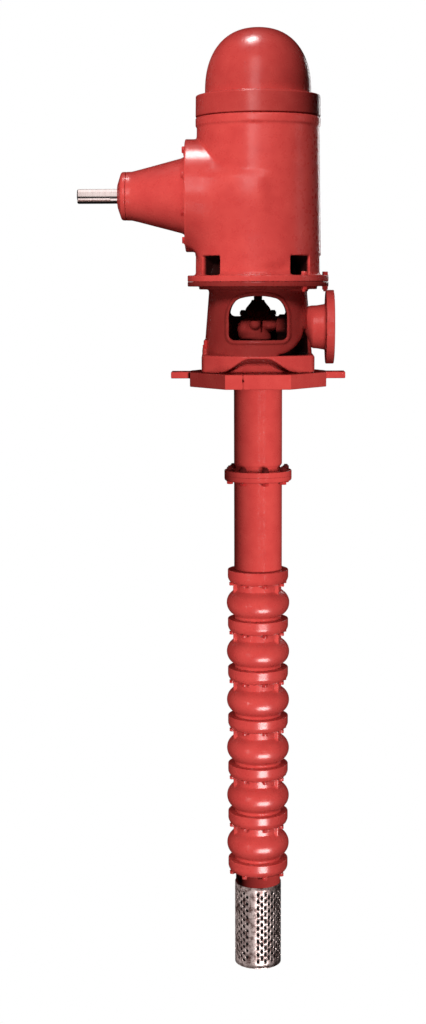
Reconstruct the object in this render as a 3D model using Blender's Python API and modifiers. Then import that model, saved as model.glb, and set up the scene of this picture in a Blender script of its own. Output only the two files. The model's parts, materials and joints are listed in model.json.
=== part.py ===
"""Vertical turbine fire pump: right-angle gear drive, discharge head, column and six pump bowls.

Metres, +Z up. The underside of the base plate is at Z = 0, and the origin is the point of that
face on the pump's centre plane, AXIS_Y in front of the vertical pump shaft. The discharge flange
faces +X and the input shaft points to -X.
"""

import math

import bmesh
import bpy
from mathutils import Vector

# Place of the vertical shaft, and how finely round pieces are divided
AXIS_Y = 0.165
ROUND_STEPS = 36
SMALL_STEPS = 20
SEAT = 0.0003

# Base plate
PLATE_TOP = 0.050
PLATE_HALF_X = 0.235
PLATE_HALF_Y = 0.245
PLATE_FRONT_X = 0.110
PLATE_SIDE_Y = 0.070
LUG_REACH = 0.302
LUG_HALF_Y = 0.040
LUG_ROOT_X = 0.205
LUG_ROOT_HALF_Y = 0.105
LUG_BOTTOM = 0.027
ANCHOR_X = 0.268
ANCHOR_RADIUS = 0.011

# Discharge head
FOOT_TOP = 0.110
FOOT_HALF_X = 0.193
FOOT_HALF_Y = 0.190
FOOT_SIDE_Y = 0.125
ARCH_HALF_X = 0.130
ARCH_FLAT_X = 0.028
ARCH_TOP = 0.098
ARCH_DEPTH = 0.050
BARREL_LOW = 0.100
BARREL_HIGH = 0.322
BARREL_LOW_RADIUS = 0.188
BARREL_HIGH_RADIUS = 0.170
BARREL_WALL = 0.016
HEAD_FLOOR = 0.118
HEAD_CEILING = 0.334
HEAD_TOP = 0.359
FLANGE_RADIUS = 0.2435
HEAD_FLANGE_BOTTOM = 0.343
WINDOW_HALF_X = 0.098
WINDOW_SILL = 0.163
REAR_SILL = 0.238
WINDOW_SHOULDER = 0.292
WINDOW_CROWN = 0.311
WINDOW_CROWN_HALF_X = 0.040
CROWN_DROP = 0.004
WINDOW_CORNER = 0.018
WINDOW_TOP_CORNER = 0.034
LIP_WIDTH = 0.015
LIP_RELIEF = 0.005
NOTCH_CENTRE = (0.060, 0.210)
NOTCH_RADIUS = 0.098
NOTCH_REACH = 0.240
NOTCH_WEB = 0.050
ELBOW_WEB = 0.030
ELBOW_WEB_X = 0.165
PEDESTAL_RADIUS = 0.078
PEDESTAL_TOP = 0.160
ELBOW_RADIUS = 0.044

# Discharge nozzle, four inch bore with a ten inch flange
NOZZLE_Z = 0.203
NOZZLE_RADIUS = 0.077
NOZZLE_NECK_RADIUS = 0.058
NOZZLE_NECK_X = 0.152
NOZZLE_SHOULDER_X = 0.190
NOZZLE_BORE = 0.051
NOZZLE_FLANGE_RADIUS = 0.127
NOZZLE_FLANGE_BACK = 0.231
NOZZLE_FACE = 0.2625

# Stuffing box and vertical shaft
BOX_RADIUS = 0.072
BOX_TOP = 0.226
GLAND_FLANGE_TOP = 0.241
GLAND_TOP = 0.297
GLAND_HALF_X = 0.068
GLAND_HALF_Y = 0.034
GLAND_CONE_RADIUS = 0.033
STUD_X = 0.052
STUD_RADIUS = 0.007
STUD_TOP = 0.262
HEAD_SHAFT_RADIUS = 0.0145
HEAD_SHAFT_BORE = 0.0150
HEAD_SHAFT_BOTTOM = 0.125
HEAD_SHAFT_TOP = 0.400

# Gear housing and its cap
HOUSING_BOTTOM = 0.3595
GEAR_FLANGE_TOP = 0.381
HOUSING_TOP = 0.9125
HOUSING_LOW_RADIUS = 0.2175
HOUSING_HIGH_RADIUS = 0.209
COLLAR_RADIUS = 0.2135
JOINT_GROOVE = 0.003
TOP_FLANGE_BOTTOM = 0.877
BOSS_RADIUS = 0.191
BOSS_FACE = -0.249
INPUT_Z = 0.652
POCKET_ANGLES = (-48.0, 42.0, 87.0, 132.0, -138.0, -93.0)
POCKET_WIDTH = 0.085
POCKET_TOP = 0.446
POCKET_DEPTH = 0.034
CAP_SHOULDER = 0.986
DOME_BASE = 0.998
DOME_RADIUS = 0.181
DOME_TOP = 1.213
DOME_FULLNESS = 2.3

# Pinion housing and input shaft
PINION_RADIUS = 0.134
PINION_NECK_RADIUS = 0.0826
PINION_NECK_X = -0.432
PINION_END_X = -0.4525
CAP_RIM_X = -0.466
CAP_FRONT_X = -0.483
INPUT_RADIUS = 0.025
INPUT_BORE = 0.0256
INPUT_END_X = -0.622
INPUT_INNER_X = -0.400
KEYWAY_WIDTH = 0.0125
KEYWAY_DEPTH = 0.007
KEYWAY_LENGTH = 0.115

# Column, six inch pipe
PIPE_RADIUS = 0.0842
PIPE_HOLE = 0.0848
UPPER_PIPE_BOTTOM = -0.2945
COLUMN_FLANGE_RADIUS = 0.118
COLUMN_FLANGE_HEIGHT = 0.0185
PIPE_NECK_RADIUS = 0.078
PIPE_NECK_HEIGHT = 0.018

# Bowls
BOWL_COUNT = 6
FIRST_RING_TOP = -0.648
BOWL_PITCH = 0.1762
RING_HEIGHT = 0.050
RING_SIDE = 0.030
RING_EDGE = 0.004
RING_RADIUS = 0.107
RING_FOOT_RADIUS = 0.091
BOWL_NECK_RADIUS = 0.084
BOWL_NECK_END = 0.066
BOWL_RADIUS = 0.111
BOWL_WIDEST = 0.1215
BOWL_FOOT_RADIUS = 0.086

# Suction case and strainer
SPIGOT_RADIUS = 0.0800
SPIGOT_LENGTH = 0.085
SUCTION_BORE = 0.066
STRAINER_TOP = -1.7955
STRAINER_BOTTOM = -2.0945
STRAINER_RADIUS = 0.0833
STRAINER_WALL = 0.0030


def clear_scene():
    for obj in list(bpy.data.objects):
        bpy.data.objects.remove(obj, do_unlink=True)


def new_collection(name):
    collection = bpy.data.collections.new(name)
    bpy.context.scene.collection.children.link(collection)
    return collection


def new_material(name, colour, roughness, metallic):
    material = bpy.data.materials.new(name)
    material.use_nodes = True
    shader = material.node_tree.nodes["Principled BSDF"]
    shader.inputs["Base Color"].default_value = (*colour, 1.0)
    shader.inputs["Roughness"].default_value = roughness
    shader.inputs["Metallic"].default_value = metallic
    return material


clear_scene()
PARTS = new_collection("vertical_turbine_fire_pump")
CUTTERS = new_collection("cutters")
PUMP_AXIS = bpy.data.objects.new("pump_axis", None)
PUMP_AXIS.location = (0.0, AXIS_Y, 0.0)
PARTS.objects.link(PUMP_AXIS)
INPUT_AXIS = bpy.data.objects.new("input_axis", None)
INPUT_AXIS.location = (0.0, 0.0, INPUT_Z)
INPUT_AXIS.rotation_euler = (0.0, -math.pi / 2, 0.0)
INPUT_AXIS.parent = PUMP_AXIS
PARTS.objects.link(INPUT_AXIS)
NOZZLE_AXIS = bpy.data.objects.new("nozzle_axis", None)
NOZZLE_AXIS.location = (0.0, 0.0, NOZZLE_Z)
NOZZLE_AXIS.rotation_euler = (0.0, math.pi / 2, 0.0)
NOZZLE_AXIS.parent = PUMP_AXIS
PARTS.objects.link(NOZZLE_AXIS)


def finish(obj, material=None, parent=PUMP_AXIS):
    """Puts a piece under its axis, in its material, shaded smooth; with no material it is a cutter."""
    obj.parent = parent
    for collection in obj.users_collection:
        collection.objects.unlink(obj)
    if material is None:
        CUTTERS.objects.link(obj)
        obj.hide_render = True
        obj.display_type = "WIRE"
        return obj
    PARTS.objects.link(obj)
    obj.data.materials.append(material)
    obj.data.shade_smooth()
    obj.data.set_sharp_from_angle(angle=math.radians(35))
    return obj


def turned(name, profile, material=None, parent=PUMP_AXIS, steps=ROUND_STEPS, hollow=False):
    """A Screw turns the profile, given as (radius, height) from the top down the outer side.

    Two neighbouring points on the axis get no edge, so a closed hollow can end there.
    """
    mesh = bpy.data.meshes.new(name)
    points = [(radius, 0.0, height) for radius, height in profile]
    edges = [(i, i + 1) for i in range(len(points) - 1) if profile[i][0] or profile[i + 1][0]]
    if hollow:
        edges.append((len(points) - 1, 0))
    mesh.from_pydata(points, edges, [])
    obj = bpy.data.objects.new(name, mesh)
    screw = obj.modifiers.new("turn", "SCREW")
    screw.angle = 2 * math.pi
    screw.steps = steps
    screw.render_steps = steps
    screw.use_merge_vertices = True
    screw.merge_threshold = 0.00001
    screw.use_smooth_shade = True
    return finish(obj, material, parent)


def flat_shape(name, outline, low, high, material=None, upright=False):
    """A filled 2D curve extruded from low to high: along Z, or along Y where it stands upright."""
    curve = bpy.data.curves.new(name + "_outline", "CURVE")
    curve.dimensions = "2D"
    curve.fill_mode = "BOTH"
    curve.extrude = (high - low) / 2
    spline = curve.splines.new("POLY")
    spline.points.add(len(outline) - 1)
    for point, (across, along) in zip(spline.points, outline):
        point.co = (across, along, 0.0, 1.0)
    spline.use_cyclic_u = True
    flat = bpy.data.objects.new(name + "_flat", curve)
    bpy.context.scene.collection.objects.link(flat)
    middle = (low + high) / 2
    if upright:
        flat.rotation_euler = (math.pi / 2, 0.0, 0.0)
        flat.location = (0.0, middle, 0.0)
    else:
        flat.location = (0.0, 0.0, middle)
    bpy.context.view_layer.update()
    graph = bpy.context.evaluated_depsgraph_get()
    mesh = bpy.data.meshes.new_from_object(flat.evaluated_get(graph))
    obj = bpy.data.objects.new(name, mesh)
    obj.matrix_world = flat.matrix_world.copy()
    bpy.data.objects.remove(flat, do_unlink=True)
    weld(mesh)
    return finish(obj, material)


def weld(mesh):
    shape = bmesh.new()
    shape.from_mesh(mesh)
    bmesh.ops.remove_doubles(shape, verts=shape.verts, dist=0.00001)
    bmesh.ops.recalc_face_normals(shape, faces=shape.faces)
    shape.to_mesh(mesh)
    shape.free()


def cylinder(name, radius, low, high, material=None, parent=PUMP_AXIS, steps=SMALL_STEPS, at=(0.0, 0.0)):
    """A capped cylinder along the parent's Z, between two heights."""
    mesh = bpy.data.meshes.new(name)
    shape = bmesh.new()
    bmesh.ops.create_cone(
        shape, cap_ends=True, segments=steps, radius1=radius, radius2=radius, depth=high - low
    )
    shape.to_mesh(mesh)
    shape.free()
    obj = bpy.data.objects.new(name, mesh)
    obj.location = (at[0], at[1], (low + high) / 2)
    return finish(obj, material, parent)


def box(name, low, high, turn=0.0, parent=PUMP_AXIS):
    """A cutter box between two corners, turned about the parent's Z."""
    mesh = bpy.data.meshes.new(name)
    shape = bmesh.new()
    bmesh.ops.create_cube(shape, size=1.0)
    size = Vector(high) - Vector(low)
    middle = (Vector(high) + Vector(low)) / 2
    bmesh.ops.scale(shape, vec=size, verts=shape.verts)
    bmesh.ops.translate(shape, vec=middle, verts=shape.verts)
    shape.to_mesh(mesh)
    shape.free()
    obj = bpy.data.objects.new(name, mesh)
    obj.rotation_euler = (0.0, 0.0, turn)
    return finish(obj, None, parent)


def combine(obj, other, operation):
    boolean = obj.modifiers.new(other.name, "BOOLEAN")
    boolean.operation = operation
    boolean.solver = "EXACT"
    boolean.object = other


def arc(centre, radius, start, end, count):
    """Points on an arc in a plane, angles in degrees, counted from the first axis."""
    points = []
    for i in range(count + 1):
        angle = math.radians(start + (end - start) * i / count)
        points.append((centre[0] + radius * math.cos(angle), centre[1] + radius * math.sin(angle)))
    return points


def eight_sided(half_x, half_y, front_x, side_y):
    """Outline of a plate whose four corners are cut off, counter-clockwise."""
    return [
        (half_x, -side_y), (half_x, side_y), (front_x, half_y), (-front_x, half_y),
        (-half_x, side_y), (-half_x, -side_y), (-front_x, -half_y), (front_x, -half_y),
    ]


RED = (0.49, 0.055, 0.05)
ENAMEL = new_material("red_enamel_on_cast_iron", RED, 0.28, 0.0)
PIPE_ENAMEL = new_material("red_enamel_on_steel_pipe", RED, 0.3, 0.0)
STEEL = new_material("bright_machined_steel", (0.62, 0.61, 0.60), 0.25, 1.0)
SHEET_STEEL = new_material("bright_perforated_sheet", (0.66, 0.65, 0.63), 0.3, 1.0)


def make_base_plate():
    outline = eight_sided(PLATE_HALF_X, PLATE_HALF_Y, PLATE_FRONT_X, PLATE_SIDE_Y)
    plate = flat_shape("base_plate", outline, 0.0, PLATE_TOP, ENAMEL)
    for side in (-1, 1):
        lug = [
            (side * LUG_ROOT_X, -LUG_ROOT_HALF_Y), (side * PLATE_HALF_X, -LUG_HALF_Y),
            (side * LUG_REACH, -LUG_HALF_Y), (side * LUG_REACH, LUG_HALF_Y),
            (side * PLATE_HALF_X, LUG_HALF_Y), (side * LUG_ROOT_X, LUG_ROOT_HALF_Y),
        ]
        combine(plate, flat_shape(f"lug_{side}", lug, LUG_BOTTOM, PLATE_TOP), "UNION")
    combine(plate, cylinder("column_hole", PIPE_HOLE, -0.05, 0.10, steps=ROUND_STEPS), "DIFFERENCE")
    for side in (-1, 1):
        hole = cylinder(f"anchor_hole_{side}", ANCHOR_RADIUS, 0.0, 0.10, at=(side * ANCHOR_X, 0.0))
        combine(plate, hole, "DIFFERENCE")


def window_outline(sill, grow=0.0):
    """A rounded window with an arched top, as (x, z), counter-clockwise from the lower right."""
    low_corner = WINDOW_CORNER + grow
    top_corner = WINDOW_TOP_CORNER + grow
    low = sill + WINDOW_CORNER
    high = WINDOW_SHOULDER - WINDOW_TOP_CORNER
    low_x = WINDOW_HALF_X - WINDOW_CORNER
    high_x = WINDOW_HALF_X - WINDOW_TOP_CORNER
    crown = [(WINDOW_CROWN_HALF_X, WINDOW_CROWN + grow - CROWN_DROP), (0.0, WINDOW_CROWN + grow)]
    crown.append((-WINDOW_CROWN_HALF_X, WINDOW_CROWN + grow - CROWN_DROP))
    points = arc((low_x, low), low_corner, -90, 0, 3)
    points += arc((high_x, high), top_corner, 0, 65, 3) + crown
    points += arc((-high_x, high), top_corner, 115, 180, 3)
    return points + arc((-low_x, low), low_corner, 180, 270, 3)


def barrel_radius(height, grow=0.0):
    """The head's barrel is a cone, wider towards the foot."""
    share = (height - BARREL_LOW) / (BARREL_HIGH - BARREL_LOW)
    return BARREL_LOW_RADIUS + (BARREL_HIGH_RADIUS - BARREL_LOW_RADIUS) * share + grow


def make_head_shell():
    """Top flange, tapered barrel, floor and ceiling in one turned profile."""
    profile = [
        (0.030, HEAD_TOP), (FLANGE_RADIUS, HEAD_TOP), (FLANGE_RADIUS, HEAD_FLANGE_BOTTOM),
        (0.205, HEAD_FLANGE_BOTTOM), (0.202, HEAD_FLANGE_BOTTOM - 0.009),
        (barrel_radius(BARREL_HIGH), BARREL_HIGH), (barrel_radius(BARREL_LOW), BARREL_LOW),
        (0.0, BARREL_LOW), (0.0, HEAD_FLOOR), (barrel_radius(HEAD_FLOOR, -BARREL_WALL), HEAD_FLOOR),
        (barrel_radius(BARREL_HIGH, -BARREL_WALL), BARREL_HIGH), (0.120, HEAD_CEILING),
        (0.030, HEAD_CEILING),
    ]
    return turned("discharge_head", profile, ENAMEL, hollow=True)


def make_window_lip(word, side, sill):
    """A raised frame that follows the barrel: a slightly larger barrel, kept only round the window."""
    high, low = WINDOW_CROWN + 0.018, sill - 0.020
    lip = turned(
        f"lip_{word}",
        [
            (barrel_radius(high, LIP_RELIEF), high), (barrel_radius(low, LIP_RELIEF), low),
            (barrel_radius(low, -BARREL_WALL / 2), low), (barrel_radius(high, -BARREL_WALL / 2), high),
        ],
        hollow=True,
    )
    near, far = sorted((side * 0.05, side * 0.30))
    frame = flat_shape(f"lip_frame_{word}", window_outline(sill, LIP_WIDTH), near, far, upright=True)
    combine(lip, frame, "INTERSECT")
    return lip, flat_shape(f"window_{word}", window_outline(sill), near, far, upright=True)


def make_nozzle():
    """Elbow, bell and flange, turned about the discharge axis from its face inwards."""
    return turned(
        "nozzle",
        [
            (0.0, NOZZLE_FACE), (NOZZLE_FLANGE_RADIUS, NOZZLE_FACE),
            (NOZZLE_FLANGE_RADIUS, NOZZLE_FLANGE_BACK), (NOZZLE_RADIUS + 0.006, NOZZLE_FLANGE_BACK - 0.003),
            (NOZZLE_RADIUS, NOZZLE_FLANGE_BACK - 0.010), (NOZZLE_RADIUS, NOZZLE_SHOULDER_X),
            (NOZZLE_NECK_RADIUS, NOZZLE_NECK_X), (NOZZLE_NECK_RADIUS, 0.118), (ELBOW_RADIUS, 0.104),
            (ELBOW_RADIUS, 0.020), (0.0, 0.020),
        ],
        parent=NOZZLE_AXIS,
    )


def notch_outline():
    """The space under the nozzle, bounded by the round underside of the elbow."""
    points = arc(NOTCH_CENTRE, NOTCH_RADIUS, -88, -8, 8)
    return points + [(NOTCH_REACH, points[-1][1]), (NOTCH_REACH, FOOT_TOP + 0.002), (0.07, FOOT_TOP + 0.002)]


def foot_outline():
    """Straight sides, with front and rear each one shallow arc through the middle and both corners."""
    rise = FOOT_HALF_Y - FOOT_SIDE_Y
    radius = (FOOT_HALF_X**2 + rise**2) / (2 * rise)
    spread = math.degrees(math.asin(FOOT_HALF_X / radius))
    front = arc((0.0, radius - FOOT_HALF_Y), radius, -90 - spread, -90 + spread, 8)
    return front + arc((0.0, FOOT_HALF_Y - radius), radius, 90 - spread, 90 + spread, 8)


def arch_outline():
    """A raised cosine on each side of a short flat, standing on the foot's underside."""
    points = [(-ARCH_HALF_X, 0.0), (ARCH_HALF_X, 0.0)]
    run = ARCH_HALF_X - ARCH_FLAT_X
    for share in (0.0, 0.25, 0.5, 0.75, 1.0):
        height = PLATE_TOP + (ARCH_TOP - PLATE_TOP) * (1 - math.cos(math.pi * share)) / 2
        points.append((ARCH_HALF_X - run * share, height))
    return points + [(-across, height) for across, height in reversed(points[2:])]


def make_discharge_head():
    head = make_head_shell()
    combine(head, flat_shape("head_foot", foot_outline(), PLATE_TOP + SEAT, FOOT_TOP), "UNION")
    for word, side, sill in (("front", -1, WINDOW_SILL), ("rear", 1, REAR_SILL)):
        lip, window = make_window_lip(word, side, sill)
        combine(head, lip, "UNION")
        combine(head, window, "DIFFERENCE")
        near, far = sorted((side * NOTCH_WEB, side * 0.30))
        combine(head, flat_shape(f"notch_{word}", notch_outline(), near, far, upright=True), "DIFFERENCE")
        near, far = sorted((side * (FOOT_HALF_Y - ARCH_DEPTH), side * 0.30))
        combine(head, flat_shape(f"foot_arch_{word}", arch_outline(), near, far, upright=True), "DIFFERENCE")
    web = box("elbow_web", (0.0, -ELBOW_WEB, BARREL_LOW), (ELBOW_WEB_X, ELBOW_WEB, NOZZLE_Z))
    combine(head, web, "UNION")
    pedestal = cylinder("pedestal", PEDESTAL_RADIUS, BARREL_LOW, PEDESTAL_TOP, steps=ROUND_STEPS)
    combine(head, pedestal, "UNION")
    combine(head, make_nozzle(), "UNION")
    seat = cylinder("box_seat", BOX_RADIUS + 2 * SEAT, PEDESTAL_TOP, 0.30, steps=ROUND_STEPS)
    combine(head, seat, "DIFFERENCE")
    bore = cylinder("nozzle_bore", NOZZLE_BORE, 0.125, 0.32, parent=NOZZLE_AXIS, steps=ROUND_STEPS)
    combine(head, bore, "DIFFERENCE")
    shaft_pocket = cylinder("shaft_pocket", HEAD_SHAFT_BORE, HEAD_SHAFT_BOTTOM - 0.006, 0.20)
    combine(head, shaft_pocket, "DIFFERENCE")


def make_stuffing_box():
    low = PEDESTAL_TOP + SEAT
    profile = [
        (HEAD_SHAFT_BORE, BOX_TOP), (BOX_RADIUS - 0.012, BOX_TOP), (BOX_RADIUS - 0.003, BOX_TOP - 0.005),
        (BOX_RADIUS, BOX_TOP - 0.014), (BOX_RADIUS, low), (HEAD_SHAFT_BORE, low),
    ]
    turned("stuffing_box", profile, ENAMEL, hollow=True)


def make_packing_gland():
    """An eight-sided flange with a conical sleeve round the shaft, held by two studs."""
    gland = flat_shape(
        "packing_gland", eight_sided(GLAND_HALF_X, GLAND_HALF_Y, 0.036, 0.014),
        BOX_TOP + SEAT, GLAND_FLANGE_TOP, ENAMEL,
    )
    sleeve = turned(
        "gland_sleeve",
        [
            (0.0, GLAND_TOP), (HEAD_SHAFT_BORE + 0.003, GLAND_TOP), (0.022, GLAND_TOP - 0.020),
            (GLAND_CONE_RADIUS, GLAND_FLANGE_TOP + 0.004), (GLAND_CONE_RADIUS, BOX_TOP + 0.004), (0.0, BOX_TOP + 0.004),
        ],
        steps=SMALL_STEPS,
    )
    combine(gland, sleeve, "UNION")
    combine(gland, cylinder("gland_bore", HEAD_SHAFT_BORE, 0.1, 0.35), "DIFFERENCE")
    for side, word in ((-1, "left"), (1, "right")):
        place = (side * STUD_X, 0.0)
        hole = cylinder(f"stud_hole_{word}", STUD_RADIUS + SEAT, 0.1, 0.3, at=place, steps=12)
        combine(gland, hole, "DIFFERENCE")
        cylinder(f"gland_stud_{word}", STUD_RADIUS, BOX_TOP + SEAT, STUD_TOP, STEEL, steps=12, at=place)


def make_head_shaft():
    cylinder("head_shaft", HEAD_SHAFT_RADIUS, HEAD_SHAFT_BOTTOM, HEAD_SHAFT_TOP, STEEL)


def make_gear_housing():
    profile = [
        (0.0, HOUSING_TOP), (COLLAR_RADIUS - JOINT_GROOVE, HOUSING_TOP),
        (COLLAR_RADIUS, HOUSING_TOP - JOINT_GROOVE), (COLLAR_RADIUS, TOP_FLANGE_BOTTOM + 0.006),
        (HOUSING_HIGH_RADIUS, TOP_FLANGE_BOTTOM), (HOUSING_LOW_RADIUS, GEAR_FLANGE_TOP + 0.010),
        (HOUSING_LOW_RADIUS + 0.008, GEAR_FLANGE_TOP), (FLANGE_RADIUS, GEAR_FLANGE_TOP),
        (FLANGE_RADIUS, HOUSING_BOTTOM), (0.0, HOUSING_BOTTOM),
    ]
    housing = turned("gear_housing", profile, ENAMEL)
    boss = cylinder("pinion_boss", BOSS_RADIUS, 0.0, -BOSS_FACE, parent=INPUT_AXIS, steps=ROUND_STEPS)
    combine(housing, boss, "UNION")
    for number, angle in enumerate(POCKET_ANGLES, 1):
        pocket = box(
            f"pocket_{number}", (-POCKET_WIDTH / 2, -0.30, GEAR_FLANGE_TOP),
            (POCKET_WIDTH / 2, -(HOUSING_LOW_RADIUS - POCKET_DEPTH), POCKET_TOP), math.radians(angle),
        )
        combine(housing, pocket, "DIFFERENCE")
    combine(housing, cylinder("gear_bore", 0.020, 0.30, HEAD_SHAFT_TOP + 0.006), "DIFFERENCE")


def make_dome_cap():
    """The dome is a quarter of a superellipse turned about the shaft, on a short cone and a band."""
    profile = []
    for i in range(9):
        angle = math.pi / 2 * (1 - i / 8)
        radius = DOME_RADIUS * math.cos(angle) ** (2 / DOME_FULLNESS)
        height = DOME_BASE + (DOME_TOP - DOME_BASE) * math.sin(angle) ** (2 / DOME_FULLNESS)
        profile.append((0.0 if i == 0 else radius, height))
    profile += [(COLLAR_RADIUS - 0.003, CAP_SHOULDER), (COLLAR_RADIUS, CAP_SHOULDER - 0.003)]
    profile += [(COLLAR_RADIUS, HOUSING_TOP + JOINT_GROOVE), (COLLAR_RADIUS - JOINT_GROOVE, HOUSING_TOP + SEAT)]
    profile.append((0.0, HOUSING_TOP + SEAT))
    turned("dome_cap", profile, ENAMEL)


def make_pinion_housing():
    """A cone turned about the input shaft, with its bearing cap and a bore for the shaft."""
    end, rim, front = -PINION_END_X, -CAP_RIM_X, -CAP_FRONT_X
    turned(
        "pinion_housing",
        [
            (INPUT_BORE, end), (PINION_NECK_RADIUS, end), (PINION_NECK_RADIUS, -PINION_NECK_X),
            (PINION_NECK_RADIUS + 0.004, -PINION_NECK_X - 0.020), (PINION_RADIUS, -BOSS_FACE + SEAT),
            (0.0, -BOSS_FACE + SEAT), (0.0, -INPUT_INNER_X - 0.010), (INPUT_BORE, -INPUT_INNER_X - 0.010),
        ],
        ENAMEL, INPUT_AXIS, hollow=True,
    )
    turned(
        "pinion_end_cap",
        [
            (INPUT_BORE, front), (0.050, front - 0.002), (0.072, front - 0.008), (PINION_NECK_RADIUS, rim),
            (PINION_NECK_RADIUS, end + SEAT), (INPUT_BORE, end + SEAT),
        ],
        ENAMEL, INPUT_AXIS, hollow=True,
    )


def make_input_shaft():
    end = -INPUT_END_X
    shaft = turned(
        "input_shaft",
        [(0.0, end), (INPUT_RADIUS - 0.003, end), (INPUT_RADIUS, end - 0.003),
         (INPUT_RADIUS, -INPUT_INNER_X), (0.0, -INPUT_INNER_X)],
        STEEL, INPUT_AXIS, steps=24,
    )
    keyway = box(
        "keyway", (-0.05, -KEYWAY_WIDTH / 2, end - KEYWAY_LENGTH),
        (-INPUT_RADIUS + KEYWAY_DEPTH, KEYWAY_WIDTH / 2, end + 0.01), math.radians(60), INPUT_AXIS,
    )
    combine(shaft, keyway, "DIFFERENCE")


def make_column():
    upper = [
        (0.0, PLATE_TOP), (PIPE_RADIUS, PLATE_TOP), (PIPE_RADIUS, UPPER_PIPE_BOTTOM + PIPE_NECK_HEIGHT),
        (PIPE_NECK_RADIUS, UPPER_PIPE_BOTTOM + PIPE_NECK_HEIGHT - 0.003),
        (PIPE_NECK_RADIUS, UPPER_PIPE_BOTTOM), (0.0, UPPER_PIPE_BOTTOM),
    ]
    turned("column_pipe_upper", upper, PIPE_ENAMEL)
    top = UPPER_PIPE_BOTTOM - SEAT
    for name in ("column_flange_upper", "column_flange_lower"):
        low = top - COLUMN_FLANGE_HEIGHT
        cylinder(name, COLUMN_FLANGE_RADIUS, low, top, ENAMEL, steps=ROUND_STEPS)
        top = low - SEAT
    cylinder("column_pipe_lower", PIPE_RADIUS, FIRST_RING_TOP + SEAT, top, PIPE_ENAMEL, steps=ROUND_STEPS)


def ring_profile(top):
    """The flange ring that every bowl starts with: a straight side and a deep chamfer below it."""
    return [
        (0.0, top), (RING_RADIUS - RING_EDGE, top), (RING_RADIUS, top - RING_EDGE),
        (RING_RADIUS, top - RING_SIDE), (RING_FOOT_RADIUS + RING_EDGE, top - RING_HEIGHT + RING_EDGE),
        (RING_FOOT_RADIUS, top - RING_HEIGHT),
    ]


def bowl_profile(top):
    """Flange ring, straight neck and a swelling bowl, from the ring's top face down."""
    points = ring_profile(top)
    points += [(BOWL_NECK_RADIUS, top - RING_HEIGHT), (BOWL_NECK_RADIUS, top - BOWL_NECK_END)]
    for share in (0.35, 0.7, 1.0):
        swell = math.sin(share * math.pi / 2)
        radius = BOWL_NECK_RADIUS + (BOWL_RADIUS - BOWL_NECK_RADIUS) * swell
        points.append((radius, top - BOWL_NECK_END - (BOWL_WIDEST - BOWL_NECK_END) * share))
    foot = BOWL_PITCH - SEAT
    for share in (0.4, 0.75, 1.0):
        fall = 1 - math.cos(share * math.pi / 2)
        radius = BOWL_RADIUS - (BOWL_RADIUS - BOWL_FOOT_RADIUS) * fall
        points.append((radius, top - BOWL_WIDEST - (foot - BOWL_WIDEST) * share))
    points.append((0.0, top - foot))
    return points


def make_bowls():
    for number in range(BOWL_COUNT):
        top = FIRST_RING_TOP - number * BOWL_PITCH
        turned(f"bowl_{number + 1}", bowl_profile(top), ENAMEL)


def make_suction_case():
    top = FIRST_RING_TOP - BOWL_COUNT * BOWL_PITCH
    low = top - RING_HEIGHT
    profile = ring_profile(top) + [
        (SPIGOT_RADIUS, low), (SPIGOT_RADIUS, low - SPIGOT_LENGTH), (SUCTION_BORE, low - SPIGOT_LENGTH),
        (SUCTION_BORE, low), (0.0, low),
    ]
    turned("suction_case", profile, ENAMEL)


def make_strainer():
    inner = STRAINER_RADIUS - STRAINER_WALL
    profile = [
        (STRAINER_RADIUS, STRAINER_TOP), (STRAINER_RADIUS, STRAINER_BOTTOM),
        (inner, STRAINER_BOTTOM), (inner, STRAINER_TOP),
    ]
    turned("strainer_shell", profile, SHEET_STEEL, hollow=True)
    cylinder(
        "strainer_bottom", STRAINER_RADIUS, STRAINER_BOTTOM - SEAT - STRAINER_WALL,
        STRAINER_BOTTOM - SEAT, SHEET_STEEL, steps=ROUND_STEPS,
    )


make_base_plate()
make_discharge_head()
make_stuffing_box()
make_packing_gland()
make_head_shaft()
make_gear_housing()
make_dome_cap()
make_pinion_housing()
make_input_shaft()
make_column()
make_bowls()
make_suction_case()
make_strainer()
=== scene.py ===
# %% [markdown]
# # A vertical turbine fire pump
#
# This lesson dresses a packed pump: a right-angle gear drive on a discharge head, a column of six
# inch pipe, six cast bowls and a perforated strainer. The solids that carry the pump come first and
# never change. Every visible surface is then worked out with numpy around them.

# %% Load the frame
import json
import math

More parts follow.
